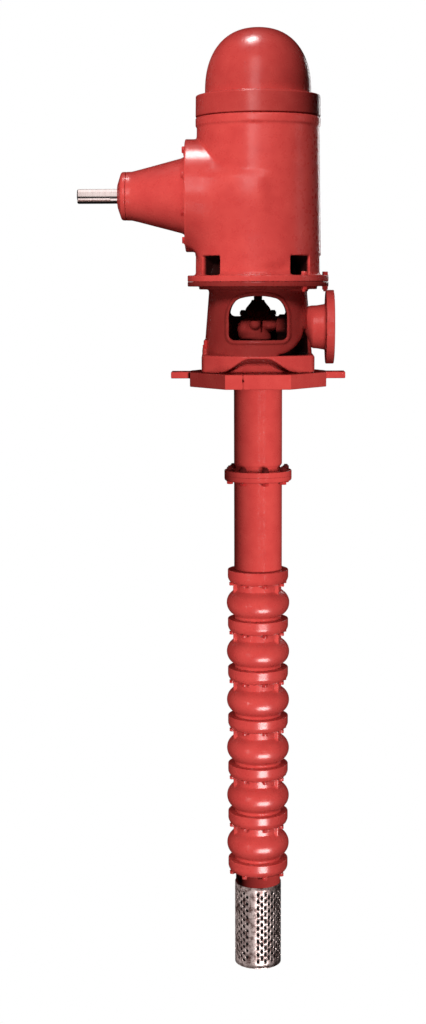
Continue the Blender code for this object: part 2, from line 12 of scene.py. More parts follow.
import bmesh
import bpy
import numpy as np
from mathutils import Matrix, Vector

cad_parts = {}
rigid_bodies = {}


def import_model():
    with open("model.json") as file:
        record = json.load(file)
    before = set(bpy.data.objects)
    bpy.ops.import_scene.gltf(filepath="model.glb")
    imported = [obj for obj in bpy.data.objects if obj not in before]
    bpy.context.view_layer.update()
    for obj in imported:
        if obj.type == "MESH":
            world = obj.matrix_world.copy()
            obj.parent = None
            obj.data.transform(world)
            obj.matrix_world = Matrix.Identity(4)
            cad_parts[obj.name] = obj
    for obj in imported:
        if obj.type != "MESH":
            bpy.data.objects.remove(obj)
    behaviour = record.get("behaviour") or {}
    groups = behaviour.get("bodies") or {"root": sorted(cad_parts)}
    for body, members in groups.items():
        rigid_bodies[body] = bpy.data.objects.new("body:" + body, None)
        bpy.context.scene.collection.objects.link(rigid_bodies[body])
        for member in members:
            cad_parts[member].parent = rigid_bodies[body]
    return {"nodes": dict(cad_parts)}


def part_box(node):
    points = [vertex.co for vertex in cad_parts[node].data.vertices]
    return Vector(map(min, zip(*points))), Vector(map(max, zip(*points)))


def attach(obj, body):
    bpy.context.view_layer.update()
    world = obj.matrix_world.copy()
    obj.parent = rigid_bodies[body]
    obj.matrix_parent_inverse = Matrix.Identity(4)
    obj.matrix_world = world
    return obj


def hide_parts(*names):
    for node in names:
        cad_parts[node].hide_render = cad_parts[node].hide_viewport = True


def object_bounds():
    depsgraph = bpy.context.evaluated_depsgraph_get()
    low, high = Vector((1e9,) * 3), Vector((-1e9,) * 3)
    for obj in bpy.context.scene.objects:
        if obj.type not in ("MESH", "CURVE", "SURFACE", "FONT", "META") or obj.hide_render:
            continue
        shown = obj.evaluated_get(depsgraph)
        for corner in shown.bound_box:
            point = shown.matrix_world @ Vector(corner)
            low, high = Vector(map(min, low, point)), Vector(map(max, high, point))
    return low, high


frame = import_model()
cad_box = [list(map(float, corner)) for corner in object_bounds()]
print("nodes", len(frame["nodes"]), "box", [[round(c, 3) for c in corner] for corner in cad_box])

# %% [markdown]
# The whole pump is built round one vertical line. Its place is read from the shaft that runs in
# the head, so that every later number can be a height or a distance from that line.

# %% The pump's axis
shaft_low, shaft_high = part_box("head_shaft")
AXIS = np.array([(shaft_low.x + shaft_high.x) / 2, (shaft_low.y + shaft_high.y) / 2, 0.0])
FRAME_BODY, INPUT_BODY, HEAD_BODY = "pump_frame", "input_shaft", "head_shaft"
INPUT_Z = sum(corner.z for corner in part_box("input_shaft")) / 2
NOZZLE_Z = 0.203
print("axis", AXIS.round(4), "input height", round(INPUT_Z, 4))

# %% [markdown]
# ## Finishes
#
# The castings and pipes wear glossy red enamel. Paint colours are written as hex values, the way a
# paint chart gives them, and Blender's shaders want linear light, so one function converts them.

# %% Colour and node helpers
def paint(hex_value, alpha=1.0):
    """sRGB hex to linear: c / 12.92 below 0.04045, else ((c + 0.055) / 1.055) to the power 2.4."""
    srgb = np.array([int(hex_value[i:i + 2], 16) for i in (1, 3, 5)]) / 255
    linear = np.where(srgb <= 0.04045, srgb / 12.92, ((srgb + 0.055) / 1.055) ** 2.4)
    return (*linear.tolist(), alpha)


def add(tree, kind, links=(), **settings):
    """Adds one node, sets its inputs or its own properties by name, and links (input, socket) pairs."""
    node = tree.nodes.new(kind)
    for name, value in settings.items():
        if name in node.inputs:
            node.inputs[name].default_value = value
        else:
            setattr(node, name, value)
    for name, socket in links:
        tree.links.new(socket, node.inputs[name])
    return node


def new_material(name, **sockets):
    """A material with its Principled shader's own sockets set; returns it with tree and shader."""
    material = bpy.data.materials.new(name)
    material.use_nodes = True
    tree = material.node_tree
    shader = tree.nodes["Principled BSDF"]
    for socket, value in sockets.items():
        shader.inputs[socket.replace("_", " ")].default_value = value
    return material, tree, shader


MM = 0.001


def noise(tree, coordinates, size_mm, detail=3.0, roughness=0.5):
    """Noise whose blotches are about size_mm across, on the given coordinates."""
    return add(
        tree, "ShaderNodeTexNoise", [("Vector", coordinates)],
        Scale=1 / (size_mm * MM), Detail=detail, Roughness=roughness,
    )


# %% [markdown]
# Enamel on cast iron is smooth but never flat: the sand mould leaves a slow ripple of a few
# centimetres and a grain of a few millimetres that the paint only half hides. The paint isn't
# equally thick everywhere, so its colour drifts a little. Steel pipe is drawn smooth, so its enamel
# gets the same drift with less ripple and less grain. Shade is painted into the deep places of the
# castings: a piece may carry a per-point attribute of painted shade, and a near-black red takes over
# as it grows. The bolts are painted over by brush, and the nuts on the column are painted dark for
# the shade that falls on them.

# %% Red enamel
# The last colour is painted shade: the near-black red that recesses turn to where shade falls.
RED, DEEP_RED, THIN_RED, SHADE_RED = "#B03B37", "#AA3633", "#B5403B", "#1E0A09"
SHADE_ATTRIBUTE = "painted_shade"


def enamel(name, grain_mm, grain_depth_mm, ripple_depth_mm, shades=(DEEP_RED, RED, THIN_RED)):
    """Glossy enamel: colour drifts over 60 mm and turns to a painted shade of near-black red as the
    shade attribute grows; the bump is a ripple over 35 mm plus a fine grain."""
    material, tree, shader = new_material(
        name, IOR=1.5, Coat_Weight=0.3, Coat_Roughness=0.18, Coat_IOR=1.5
    )
    place = add(tree, "ShaderNodeTexCoord").outputs["Object"]
    drift = noise(tree, place, 60, detail=4.0, roughness=0.6)
    ramp = add(tree, "ShaderNodeValToRGB", [("Fac", drift.outputs["Fac"])])
    ramp.color_ramp.elements[0].position = 0.30
    ramp.color_ramp.elements[0].color = paint(shades[0])
    ramp.color_ramp.elements[1].position = 0.72
    ramp.color_ramp.elements[1].color = paint(shades[2])
    middle = ramp.color_ramp.elements.new(0.50)
    middle.color = paint(shades[1])
    # Painted shade: a per-point attribute mixes the colour towards near-black red in recesses.
    painted_shade = add(tree, "ShaderNodeAttribute", attribute_name=SHADE_ATTRIBUTE)
    shaded_colour = add(
        tree, "ShaderNodeMixRGB", [("Fac", painted_shade.outputs["Fac"]), ("Color1", ramp.outputs["Color"])],
        Color2=paint(SHADE_RED),
    )
    tree.links.new(shaded_colour.outputs["Color"], shader.inputs["Base Color"])
    gloss = add(
        tree, "ShaderNodeMapRange", [("Value", noise(tree, place, 18).outputs["Fac"])],
        **{"From Min": 0.3, "From Max": 0.7, "To Min": 0.25, "To Max": 0.33},
    )
    tree.links.new(gloss.outputs["Result"], shader.inputs["Roughness"])
    ripple = add(
        tree, "ShaderNodeBump", [("Height", noise(tree, place, 35, detail=2.0).outputs["Fac"])],
        Strength=1.0, Distance=ripple_depth_mm * MM,
    )
    grain = add(
        tree, "ShaderNodeBump",
        [("Height", noise(tree, place, grain_mm).outputs["Fac"]), ("Normal", ripple.outputs["Normal"])],
        Strength=1.0, Distance=grain_depth_mm * MM,
    )
    tree.links.new(grain.outputs["Normal"], shader.inputs["Normal"])
    return material


CAST_ENAMEL = enamel("glossy_red_enamel_on_cast_iron", 4.0, 0.015, 0.20)
PIPE_ENAMEL = enamel("glossy_red_enamel_on_drawn_steel_pipe", 3.0, 0.01, 0.08)
BRUSHED_REDS, NUT_SHADE_REDS = ("#8C2221", "#A52C2A", "#B84F4A"), ("#3A1010", "#4A1514", "#5C1E1C")
BOLT_ENAMEL = enamel("red_enamel_brushed_over_steel_bolts", 2.0, 0.04, 0.05, BRUSHED_REDS)
# The column nuts' dark reds are painted shade, for the shade that falls on them.
NUT_ENAMEL = enamel("red_enamel_darkened_with_painted_shade_on_column_nuts", 2.0, 0.04, 0.05, NUT_SHADE_REDS)
print("enamels", [m.name for m in (CAST_ENAMEL, PIPE_ENAMEL, BOLT_ENAMEL, NUT_ENAMEL)])

# %% [markdown]
# The shafts and studs are bright steel, turned on a lathe. The tool leaves rings a few tenths of a
# millimetre apart; they are drawn at 1.5 mm here, which is as fine as the picture can show. The
# strainer is rolled from perforated stainless sheet, whose mill finish is blotchy: bright metal with
# dull brownish patches. A metallic value of about a half keeps it duller than the shafts.

# %% Bare metals
def turned_steel(name, ring_axis):
    """Bright steel with lathe rings: noise drawn out round the axis drives tone and roughness."""
    material, tree, shader = new_material(name, Metallic=1.0)
    place = add(tree, "ShaderNodeTexCoord").outputs["Object"]
    stretch = [30.0, 30.0, 30.0]
    stretch["XYZ".index(ring_axis)] = 1 / (1.5 * MM)
    drawn = add(tree, "ShaderNodeMapping", [("Vector", place)], Scale=stretch)
    rings = add(tree, "ShaderNodeTexNoise", [("Vector", drawn.outputs["Vector"])], Scale=1.0, Detail=3.0)
    tone = add(tree, "ShaderNodeValToRGB", [("Fac", rings.outputs["Fac"])])
    tone.color_ramp.elements[0].position = 0.3
    tone.color_ramp.elements[0].color = paint("#CDB9B5")
    tone.color_ramp.elements[1].position = 0.7
    tone.color_ramp.elements[1].color = paint("#DDCCC8")
    tree.links.new(tone.outputs["Color"], shader.inputs["Base Color"])
    rough = add(
        tree, "ShaderNodeMapRange", [("Value", rings.outputs["Fac"])],
        **{"From Min": 0.3, "From Max": 0.7, "To Min": 0.27, "To Max": 0.23},
    )
    tree.links.new(rough.outputs["Result"], shader.inputs["Roughness"])
    return material


def sheet_steel():
    """Mill-finish stainless sheet: blotches of 20 mm turn it from a bright tone to a dull brown one,
    and are rougher where they are dull."""
    material, tree, shader = new_material(
        "mill_finish_stainless_sheet", Metallic=0.55, Roughness=0.34
    )
    place = add(tree, "ShaderNodeTexCoord").outputs["Object"]
    blotch = noise(tree, place, 20, detail=6.0, roughness=0.75)
    ramp = add(tree, "ShaderNodeValToRGB", [("Fac", blotch.outputs["Fac"])])
    ramp.color_ramp.elements[0].position = 0.40
    ramp.color_ramp.elements[0].color = paint("#634743")
    ramp.color_ramp.elements[1].position = 0.58
    ramp.color_ramp.elements[1].color = paint("#E2CBC6")
    tree.links.new(ramp.outputs["Color"], shader.inputs["Base Color"])
    rough = add(
        tree, "ShaderNodeMapRange", [("Value", blotch.outputs["Fac"])],
        **{"From Min": 0.3, "From Max": 0.7, "To Min": 0.42, "To Max": 0.24},
    )
    tree.links.new(rough.outputs["Result"], shader.inputs["Roughness"])
    bump = add(
        tree, "ShaderNodeBump", [("Height", noise(tree, place, 6).outputs["Fac"])],
        Strength=1.0, Distance=0.08 * MM,
    )
    tree.links.new(bump.outputs["Normal"], shader.inputs["Normal"])
    return material


SHAFT_STEEL = turned_steel("bright_turned_steel_along_z", "Z")
INPUT_STEEL = turned_steel("bright_turned_steel_along_x", "X")
SHEET_STEEL = sheet_steel()
print("metals", [m.name for m in (SHAFT_STEEL, INPUT_STEEL, SHEET_STEEL)])

# %% [markdown]
# ## Ways of making a surface
#
# Most of this pump came off a lathe or out of a round mould, so most pieces are a profile turned
# about an axis. A real corner is never sharp: the profile helper below rounds each corner with a
# small arc and adds a support point on both sides of it, which keeps the flats looking flat.

# %% From arrays to a piece
def make_piece(name, points, faces, material, body=FRAME_BODY, stands_for=(), slot="enamel"):
    """Points and faces become a smooth-shaded mesh whose faces point outwards, riding on a body."""
    mesh = bpy.data.meshes.new(name)
    mesh.from_pydata(np.asarray(points, float).reshape(-1, 3).tolist(), [], np.asarray(faces).tolist())
    shape = bmesh.new()
    shape.from_mesh(mesh)
    bmesh.ops.remove_doubles(shape, verts=shape.verts, dist=0.000002)
    if shape.calc_volume(signed=True) < 0:
        bmesh.ops.reverse_faces(shape, faces=shape.faces)
    shape.to_mesh(mesh)
    shape.free()
    mesh.materials.append(material)
    mesh.shade_smooth()
    mesh.set_sharp_from_angle(angle=math.radians(40))
    piece = bpy.data.objects.new(name, mesh)
    bpy.context.scene.collection.objects.link(piece)
    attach(piece, body)
    if stands_for:
        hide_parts(*stands_for)
    print(f"{name}: {len(mesh.vertices)} points, {len(mesh.polygons)} faces")
    return piece


def grid_faces(rows, columns, closed_rows=False):
    """Quads between neighbours of a grid whose last column meets its first; rows may meet too."""
    index = np.arange(rows * columns).reshape(rows, columns)
    near, far = (index, np.roll(index, -1, 0)) if closed_rows else (index[:-1], index[1:])
    quads = np.stack([near, np.roll(near, -1, 1), np.roll(far, -1, 1), far], -1)
    return quads.reshape(-1, 4)


# %% Rounded profiles
ARC_STEPS = 5
SUPPORT = 0.0008


def rounded(corners, closed=False):
    """Corners are (radius, height, rounding). Each corner P becomes a curve from P + a to P + b,
    (1 - t)^2 (P + a) + 2 t (1 - t) P + t^2 (P + b), where a and b reach back along its two sides."""
    count = len(corners)
    line = []
    for i, (radius, height, rounding) in enumerate(corners):
        here = np.array([radius, height])
        if rounding <= 0 or (not closed and i in (0, count - 1)):
            line.append(here[None])
            continue
        sides = [np.array(corners[(i + step) % count][:2]) - here for step in (-1, 1)]
        lengths = [np.hypot(*side) for side in sides]
        reach = min(rounding, *(0.48 * length for length in lengths))
        back, on = (side / length * reach for side, length in zip(sides, lengths))
        t = np.linspace(0, 1, ARC_STEPS + 1)[:, None]
        curve = (1 - t) ** 2 * (here + back) + 2 * t * (1 - t) * here + t**2 * (here + on)
        hold = min(SUPPORT, 0.02 * min(lengths))
        line += [(here + back * (1 + hold / reach))[None], curve, (here + on * (1 + hold / reach))[None]]
    return np.concatenate(line)


# %% Turned pieces
def ring_points(profile, steps, about="z", reshape=None):
    """A profile of (r, h) turned about the pump's axis: point = (r cos a, r sin a, h). About the
    input shaft's axis it is (-h, r cos a, -r sin a), at that shaft's height. reshape(a, h, r) gives
    another radius where a surface isn't quite round."""
    angle = np.linspace(0, 2 * np.pi, steps, endpoint=False)[None, :]
    radius, height = profile[:, :1], profile[:, 1:]
    if reshape is not None:
        radius = reshape(angle, height, radius)
    across, along = radius * np.cos(angle), radius * np.sin(angle)
    height = np.broadcast_to(height, across.shape)
    if about == "z":
        return AXIS + np.stack([across, along, height], -1)
    return AXIS + np.array([0, 0, INPUT_Z]) + np.stack([-height, across, -along], -1)


def turned(name, corners, material, steps=96, about="z", closed=False, **more):
    """Rounds the profile's corners, turns it as ring_points says, and makes the piece. The ends of
    the profile lie on the axis, or else closed joins them to each other round a hole."""
    profile = rounded(corners, closed)
    points = ring_points(profile, steps, about)
    return make_piece(name, points, grid_faces(len(profile), steps, closed), material, **more)


# %% [markdown]
# The big castings aren't turned. They are round, flat and bent shapes that flow into each other
# with fillets, as a pattern maker's wooden pattern does. The way to say that in numbers is a
# distance field: a function that is negative inside the metal. Two forms are joined by a smooth
# minimum, which leaves a fillet, and a hole is a smooth difference. The surface where the field is
# zero is then found on a grid of cells, one point per cell that the surface crosses, and each point
# is slid along the slope of the field until it lies on the surface.

# %% Distance fields
def blend(a, b, reach):
    """Smooth union: min(a, b) minus reach / 4 times the square of max(reach - |a - b|, 0) / reach."""
    closeness = np.maximum(reach - np.abs(a - b), 0) / reach
    return np.minimum(a, b) - closeness**2 * reach / 4


def carve(a, b, reach):
    """Smooth difference: what is in a and not in b."""
    return -blend(-a, b, reach)


def rounded_meet(a, b, edge):
    """Intersection of two slabs with a rounded edge: the length of their positive parts."""
    a, b = a + edge, b + edge
    return np.minimum(np.maximum(a, b), 0) + np.hypot(np.maximum(a, 0), np.maximum(b, 0)) - edge


def rod(across, along, radius, low, high, edge):
    """A round bar: across is the distance from its axis and along runs from low to high."""
    return rounded_meet(across - radius, np.maximum(low - along, along - high), edge)


def ramp_between(value, start, end):
    """0 at start, 1 at end, with the smooth step 3 t^2 - 2 t^3 between."""
    t = np.clip((value - start) / (end - start), 0, 1)
    return t * t * (3 - 2 * t)


# %% From field to surface
CORNERS = np.array([[i, j, k] for i in (0, 1) for j in (0, 1) for k in (0, 1)])
EDGES = [(a, b) for a in range(8) for b in range(a + 1, 8) if np.abs(CORNERS[a] - CORNERS[b]).sum() == 1]


def slide_to_surface(points, field, cell, rounds=4):
    """Newton steps: p moves by -f(p) grad f / |grad f|^2, at most half a cell each time."""
    step = 0.0002
    for _ in range(rounds):
        value = field(*points.T)
        slope = np.stack([
            (field(*(points + step * way).T) - field(*(points - step * way).T)) / (2 * step)
            for way in np.eye(3)
        ], -1)
        move = -value[:, None] * slope / np.maximum((slope**2).sum(-1), 0.05)[:, None]
        points = points + np.clip(move, -cell / 2, cell / 2)
    return points


def cast_surface(field, low, high, cell):
    """Points and quads of field = 0: a point in each crossed cell, a quad round each crossed edge."""
    axes = [np.arange(a - 1.5 * cell, b + 2.5 * cell, cell) for a, b in zip(low, high)]
    grid = np.meshgrid(*axes, indexing="ij")
    value = field(*grid)
    inside = value < 0
    counts = [n - 1 for n in value.shape]
    corner_inside = [inside[i:i + counts[0], j:j + counts[1], k:k + counts[2]] for i, j, k in CORNERS]
    crossed = np.any(corner_inside, axis=0) & ~np.all(corner_inside, axis=0)
    cells = np.argwhere(crossed)
    corner_value = np.stack([value[tuple((cells + corner).T)] for corner in CORNERS], -1)
    total, hits = np.zeros(cells.shape), np.zeros(len(cells))
    for a, b in EDGES:
        cut = (corner_value[:, a] < 0) != (corner_value[:, b] < 0)
        share = corner_value[:, a] / np.where(cut, corner_value[:, a] - corner_value[:, b], 1)
        spot = CORNERS[a] + share[:, None] * (CORNERS[b] - CORNERS[a])
        total += np.where(cut[:, None], spot, 0)
        hits += cut
    origin = np.array([axis[0] for axis in axes])
    points = origin + (cells + total / hits[:, None]) * cell
    number = np.full(crossed.shape, -1)
    number[tuple(cells.T)] = np.arange(len(cells))
    quads = []
    for way in range(3):
        side, other = (way + 1) % 3, (way + 2) % 3
        ahead = np.eye(3, dtype=int)
        first = np.take(inside, range(value.shape[way] - 1), way)
        second = np.take(inside, range(1, value.shape[way]), way)
        edge = np.argwhere(first != second)
        edge = edge[(edge[:, side] > 0) & (edge[:, other] > 0)]
        edge = edge[(edge[:, side] < counts[side]) & (edge[:, other] < counts[other])]
        around = [edge - ahead[side] - ahead[other], edge - ahead[other], edge, edge - ahead[side]]
        quad = np.stack([number[tuple(spot.T)] for spot in around], -1)
        leaving = first[tuple(edge.T)]
        quads.append(np.where(leaving[:, None], quad, quad[:, ::-1]))
    return slide_to_surface(points, field, cell), np.concatenate(quads)


def cast(name, field, low, high, cell, material, shade_of=None, **more):
    """A casting whose field is written about the pump axis; the optional function gives how much shade is
    painted at each point.
    """
    points, quads = cast_surface(field, low, high, cell)
    piece = make_piece(name, points + AXIS, quads, material, **more)
    if shade_of is not None:
        spots = np.empty(3 * len(piece.data.vertices))
        piece.data.vertices.foreach_get("co", spots)
        painted_shade = shade_of(*(spots.reshape(-1, 3) - AXIS).T)
        piece.data.attributes.new(SHADE_ATTRIBUTE, "FLOAT", "POINT").data.foreach_set("value", painted_shade)
    return piece


# %% [markdown]
# ## Gear drive
#
# The gear case is one casting: a slightly tapered barrel with a flange below, a collar above and a
# wide round boss where the pinion housing bolts on. Six pockets in its foot leave room for the
# flange bolts. The boss meets the barrel in a crisp line, but for the lower two thirds of it at the
# front, where a deep fillet leads into the barrel.

# %% Gear case
case_low, case_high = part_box("gear_housing")
CASE_BOTTOM, CASE_TOP = case_low.z, case_high.z
GEAR_FLANGE_TOP = 0.381
CASE_FLANGE_RADIUS = case_high.x
BOSS_RADIUS, BOSS_FACE = 0.191, case_low.x
BARREL_RADIUS, BARREL_TAPER = 0.2175, 0.0085
COLLAR_BOTTOM, COLLAR_RADIUS = 0.884, 0.2135
POCKET_ANGLES = np.radians([-48.0, 42.0, 87.0, 132.0, -138.0, -93.0])
POCKET_HALF_WIDTH, POCKET_BOTTOM, POCKET_TOP = 0.0425, 0.372, 0.446
SCOOP_ANGLE, SCOOP_HEIGHT, SCOOP_OUT, SCOOP_SIZE = math.radians(17), 0.402, 0.2255, (0.055, 0.016, 0.013)
BOLT_CIRCLE = 0.2315


def turn_to(x, y, angle):
    """Coordinates (sideways, outwards) seen from the axis towards an angle counted from the front."""
    return x * np.cos(angle) + y * np.sin(angle), x * np.sin(angle) - y * np.cos(angle)


def gear_case_field(x, y, z):
    """Barrel and boss are blended with a reach that grows from 8 to 68 mm low at the front. A collar
    is added, a shallow scoop and the pockets, which are deeper at the top, are cut away, and the
    flange is added last."""
    across = np.hypot(x, y)
    share = np.clip((z - GEAR_FLANGE_TOP) / (CASE_TOP - GEAR_FLANGE_TOP), 0, 1)
    case = rod(across, z, BARREL_RADIUS - BARREL_TAPER * share, CASE_BOTTOM, CASE_TOP, 0.003)
    fillet = 0.008 + 0.060 * ramp_between(z, 0.765, 0.700) * ramp_between(-y, 0.02, 0.10)
    boss = rod(np.hypot(y, z - INPUT_Z), -x, BOSS_RADIUS, 0.0, -BOSS_FACE, 0.004)
    case = blend(case, boss, fillet)
    case = blend(case, rod(across, z, COLLAR_RADIUS, COLLAR_BOTTOM, CASE_TOP, 0.004), 0.006)
    scoop_side, scoop_out = turn_to(x, y, SCOOP_ANGLE)
    offsets = (scoop_side, z - SCOOP_HEIGHT, scoop_out - SCOOP_OUT)
    scoop = np.sqrt(sum((offset / size) ** 2 for offset, size in zip(offsets, SCOOP_SIZE)))
    case = carve(case, (scoop - 1) * SCOOP_SIZE[2], 0.012)
    for angle in POCKET_ANGLES:
        side, out = turn_to(x, y, angle)
        back = 0.1450 + 0.55 * (POCKET_TOP - z) - (0.030 if angle > 0 else 0.0)
        ends = np.maximum(back - out, np.maximum(z - POCKET_TOP, POCKET_BOTTOM - z))
        case = carve(case, rounded_meet(np.abs(side) - POCKET_HALF_WIDTH, ends, 0.005), 0.005)
    flange = rod(across, z, CASE_FLANGE_RADIUS, CASE_BOTTOM, GEAR_FLANGE_TOP, 0.0025)
    return blend(case, flange, 0.010)


def pocket_shade(x, y, z):
    """Painted shade: close to 1 inside a pocket, and 0 on the barrel's face and outside it."""
    return ramp_between(np.hypot(x, y), 0.2135, 0.2020) * ramp_between(np.abs(z - 0.4140), 0.0345, 0.0325)


cast(
    "gear_case", gear_case_field,
    (BOSS_FACE, -CASE_FLANGE_RADIUS, CASE_BOTTOM), (CASE_FLANGE_RADIUS, CASE_FLANGE_RADIUS, CASE_TOP),
    0.0042, CAST_ENAMEL, shade_of=pocket_shade, stands_for=("gear_housing",),
)

# %% [markdown]
# The cap over the gears is a tall dome on a band. Its outline is a quarter of a superellipse,
# (r / R)^n + (h / H)^n = 1 with n = 2.3, which is a little fuller than a plain ellipse.

# %% Dome cap
cap_low, cap_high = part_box("dome_cap")
BAND_RADIUS = cap_high.x
DOME_RADIUS, DOME_BASE, FULLNESS = 0.181, 0.998, 2.3
SKIRT_RADIUS = BAND_RADIUS - 0.008
DOME_ROWS, DOME_STEPS = 34, 112
quarter = np.linspace(0, np.pi / 2, DOME_ROWS)[::-1]
dome_line = np.stack([
    DOME_RADIUS * np.cos(quarter) ** (2 / FULLNESS),
    DOME_BASE + (cap_high.z - DOME_BASE) * np.sin(quarter) ** (2 / FULLNESS),
], -1)
dome_line[0, 0] = 0.0
band_line = rounded([
    tuple(dome_line[-1]) + (0.0,), (0.1825, 0.9915, 0.001), (BAND_RADIUS - 0.001, 0.986, 0.004),
    (BAND_RADIUS, 0.9165, 0.003), (SKIRT_RADIUS, 0.9145, 0.001), (SKIRT_RADIUS, cap_low.z, 0.0),
    (0.0, cap_low.z, 0.0),
])
cap_line = np.concatenate([dome_line, band_line[1:]])
make_piece(
    "gear_dome", ring_points(cap_line, DOME_STEPS), grid_faces(len(cap_line), DOME_STEPS), CAST_ENAMEL,
    stands_for=("dome_cap",),
)

# %% [markdown]
# The pinion housing is a cone that carries the input shaft's bearings. It bolts to the boss with a
# wide flange, and a cap with a rounded nose closes its small end.

# %% Pinion housing and its cap
CONE_END = -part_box("pinion_housing")[0].x
FLANGE_START = -BOSS_FACE + 0.0003
SHAFT_HOLE, CONE_FLANGE = 0.0255, 0.134
turned(
    "pinion_cone",
    [(SHAFT_HOLE, CONE_END - 0.004, 0), (SHAFT_HOLE, CONE_END, 0.001), (0.0826, CONE_END, 0.0025),
     (0.0828, CONE_END - 0.018, 0.006), (0.0880, CONE_END - 0.040, 0.012),
     (0.1275, FLANGE_START + 0.012, 0.010), (CONE_FLANGE, FLANGE_START + 0.002, 0.001),
     (CONE_FLANGE, FLANGE_START, 0), (SHAFT_HOLE, FLANGE_START, 0)],
    CAST_ENAMEL, about="-x", closed=True, stands_for=("pinion_housing",),
)
CAP_FRONT = -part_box("pinion_end_cap")[0].x
turned(
    "pinion_bearing_cap",
    [(0.0256, CAP_FRONT, 0), (0.040, CAP_FRONT, 0.003), (0.052, CAP_FRONT - 0.004, 0.006),
     (0.0820, CAP_FRONT - 0.014, 0.012), (0.0826, CONE_END + 0.0014, 0.002), (0.0800, CONE_END + 0.0003, 0),
     (0.0256, CONE_END + 0.0003, 0)],
    CAST_ENAMEL, about="-x", closed=True, stands_for=("pinion_end_cap",),
)

# %% [markdown]
# The input shaft is 50 mm across, with a keyway milled along its end. Its section is a circle whose
# radius is cut by the flat floor and the two walls of the keyway, and the section is carried along
# the shaft: full first, notched after the cutter's start, and drawn in for the chamfer at the end.

# %% Input shaft with its keyway
input_low, input_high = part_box("input_shaft")
SHAFT_RADIUS = (input_high.y - input_low.y) / 2
KEY_WIDTH, KEY_DEPTH, KEY_LENGTH, KEY_ANGLE = 0.0125, 0.007, 0.115, math.radians(213)
SHAFT_STEPS = 144


def shaft_section(notched):
    """Radius over angle: the floor r = (R - depth) / cos b inside the key's width, else R."""
    angle = np.linspace(0, 2 * np.pi, SHAFT_STEPS, endpoint=False)
    away = np.angle(np.exp(1j * (angle - KEY_ANGLE)))
    half = math.asin(KEY_WIDTH / 2 / SHAFT_RADIUS)
    floor = (SHAFT_RADIUS - KEY_DEPTH) / np.cos(np.clip(away, -half, half))
    radius = np.where((np.abs(away) <= half) & notched, floor, SHAFT_RADIUS)
    return radius * np.cos(angle), radius * np.sin(angle)


tip, root = -input_low.x, -input_high.x
key_start = tip - KEY_LENGTH
stations = [
    (root, 0.0, False), (root, 1.0, False), (key_start, 1.0, False), (key_start, 1.0, True),
    (tip - 0.0035, 1.0, True), (tip - 0.003, 0.995, True), (tip, 0.90, True), (tip, 0.885, True),
    (tip, 0.0, True),
]
rings = []
for along, scale, notched in stations:
    side, up = shaft_section(notched)
    rings.append(np.stack([np.full(SHAFT_STEPS, -along), side * scale, up * scale], -1))
make_piece(
    "keyed_input_shaft", np.array(rings) + AXIS + [0, 0, INPUT_Z], grid_faces(len(rings), SHAFT_STEPS),
    INPUT_STEEL, body=INPUT_BODY, stands_for=("input_shaft",), slot="steel",
)

# %% [markdown]
# ## Discharge head
#
# Water comes up the column and turns in an elbow to the nozzle. Round that elbow the head is an
# open cone with a window on each side, so that the packing can be reached. The window has a thick
# rounded lip, the underside of the elbow sweeps down to the foot, and the foot itself is hollowed
# by a low arch at the front and the rear. Two studs stand in lugs on the foot's left side. The
# real head is one casting. Here its cone, foot, nozzle and elbow are four fields that overlap, so
# that each is simple enough to read and can have its own painted shade and its own lamps.

# %% Head casting
head_low, head_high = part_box("discharge_head")
HEAD_TOP, FOOT_BOTTOM = head_high.z, head_low.z
NOZZLE_FACE = head_high.x
HEAD_FLANGE_BOTTOM, HEAD_FLOOR, HEAD_CEILING, FOOT_TOP = 0.343, 0.118, 0.334, 0.110
WINDOW_HALF_X, WINDOW_CROWN, LIP_WIDTH, LIP_RELIEF = 0.098, 0.311, 0.014, 0.006
CROWN_ARC = 0.222
FOOT_STUD_X, FOOT_STUD_Y, LUG_TOP = -0.181, 0.052, 0.130
FOOT_HALF_X, FOOT_HALF_Y, FOOT_BOW = 0.193, 0.190, 0.065
NOZZLE_FLANGE, NOZZLE_BORE, NOZZLE_BOLTS = 0.127, 0.051, 0.100
NOZZLE_START, WEB_HALF, WEB_END, ELBOW_RADIUS = 0.146, 0.030, 0.172, 0.044
PASSAGE_RADIUS, PASSAGE_IN_ELBOW, PASSAGE_Z, PEDESTAL_RADIUS = 0.028, 0.029, 0.231, 0.078
HEAD_FLANGE_RADIUS, SHAFT_CLEARANCE = 0.2435, 0.0155
BELL_Z, BELL_DROP, BOLT_HOLE = 0.233, 0.030, 0.0105
# Each window's sill height and its side, where -1 is the front.
WINDOWS = ((0.163, -1), (0.238, 1))


def barrel_radius(z):
    """The wall is a cone, whose radius runs from 188 mm at the foot to 170 mm under the flange."""
    return 0.188 - 0.018 * np.clip((z - 0.10) / 0.222, 0, 1)


def window_distance(x, z, sill):
    """Distance to a window with straight sides, a flat sill and one broad arc for its top."""
    sides = np.abs(x) - WINDOW_HALF_X
    arch = np.hypot(x, z - WINDOW_CROWN + CROWN_ARC) - CROWN_ARC
    low = rounded_meet(sides, sill - z, 0.018)
    return np.maximum(low, rounded_meet(sides, arch, 0.040))


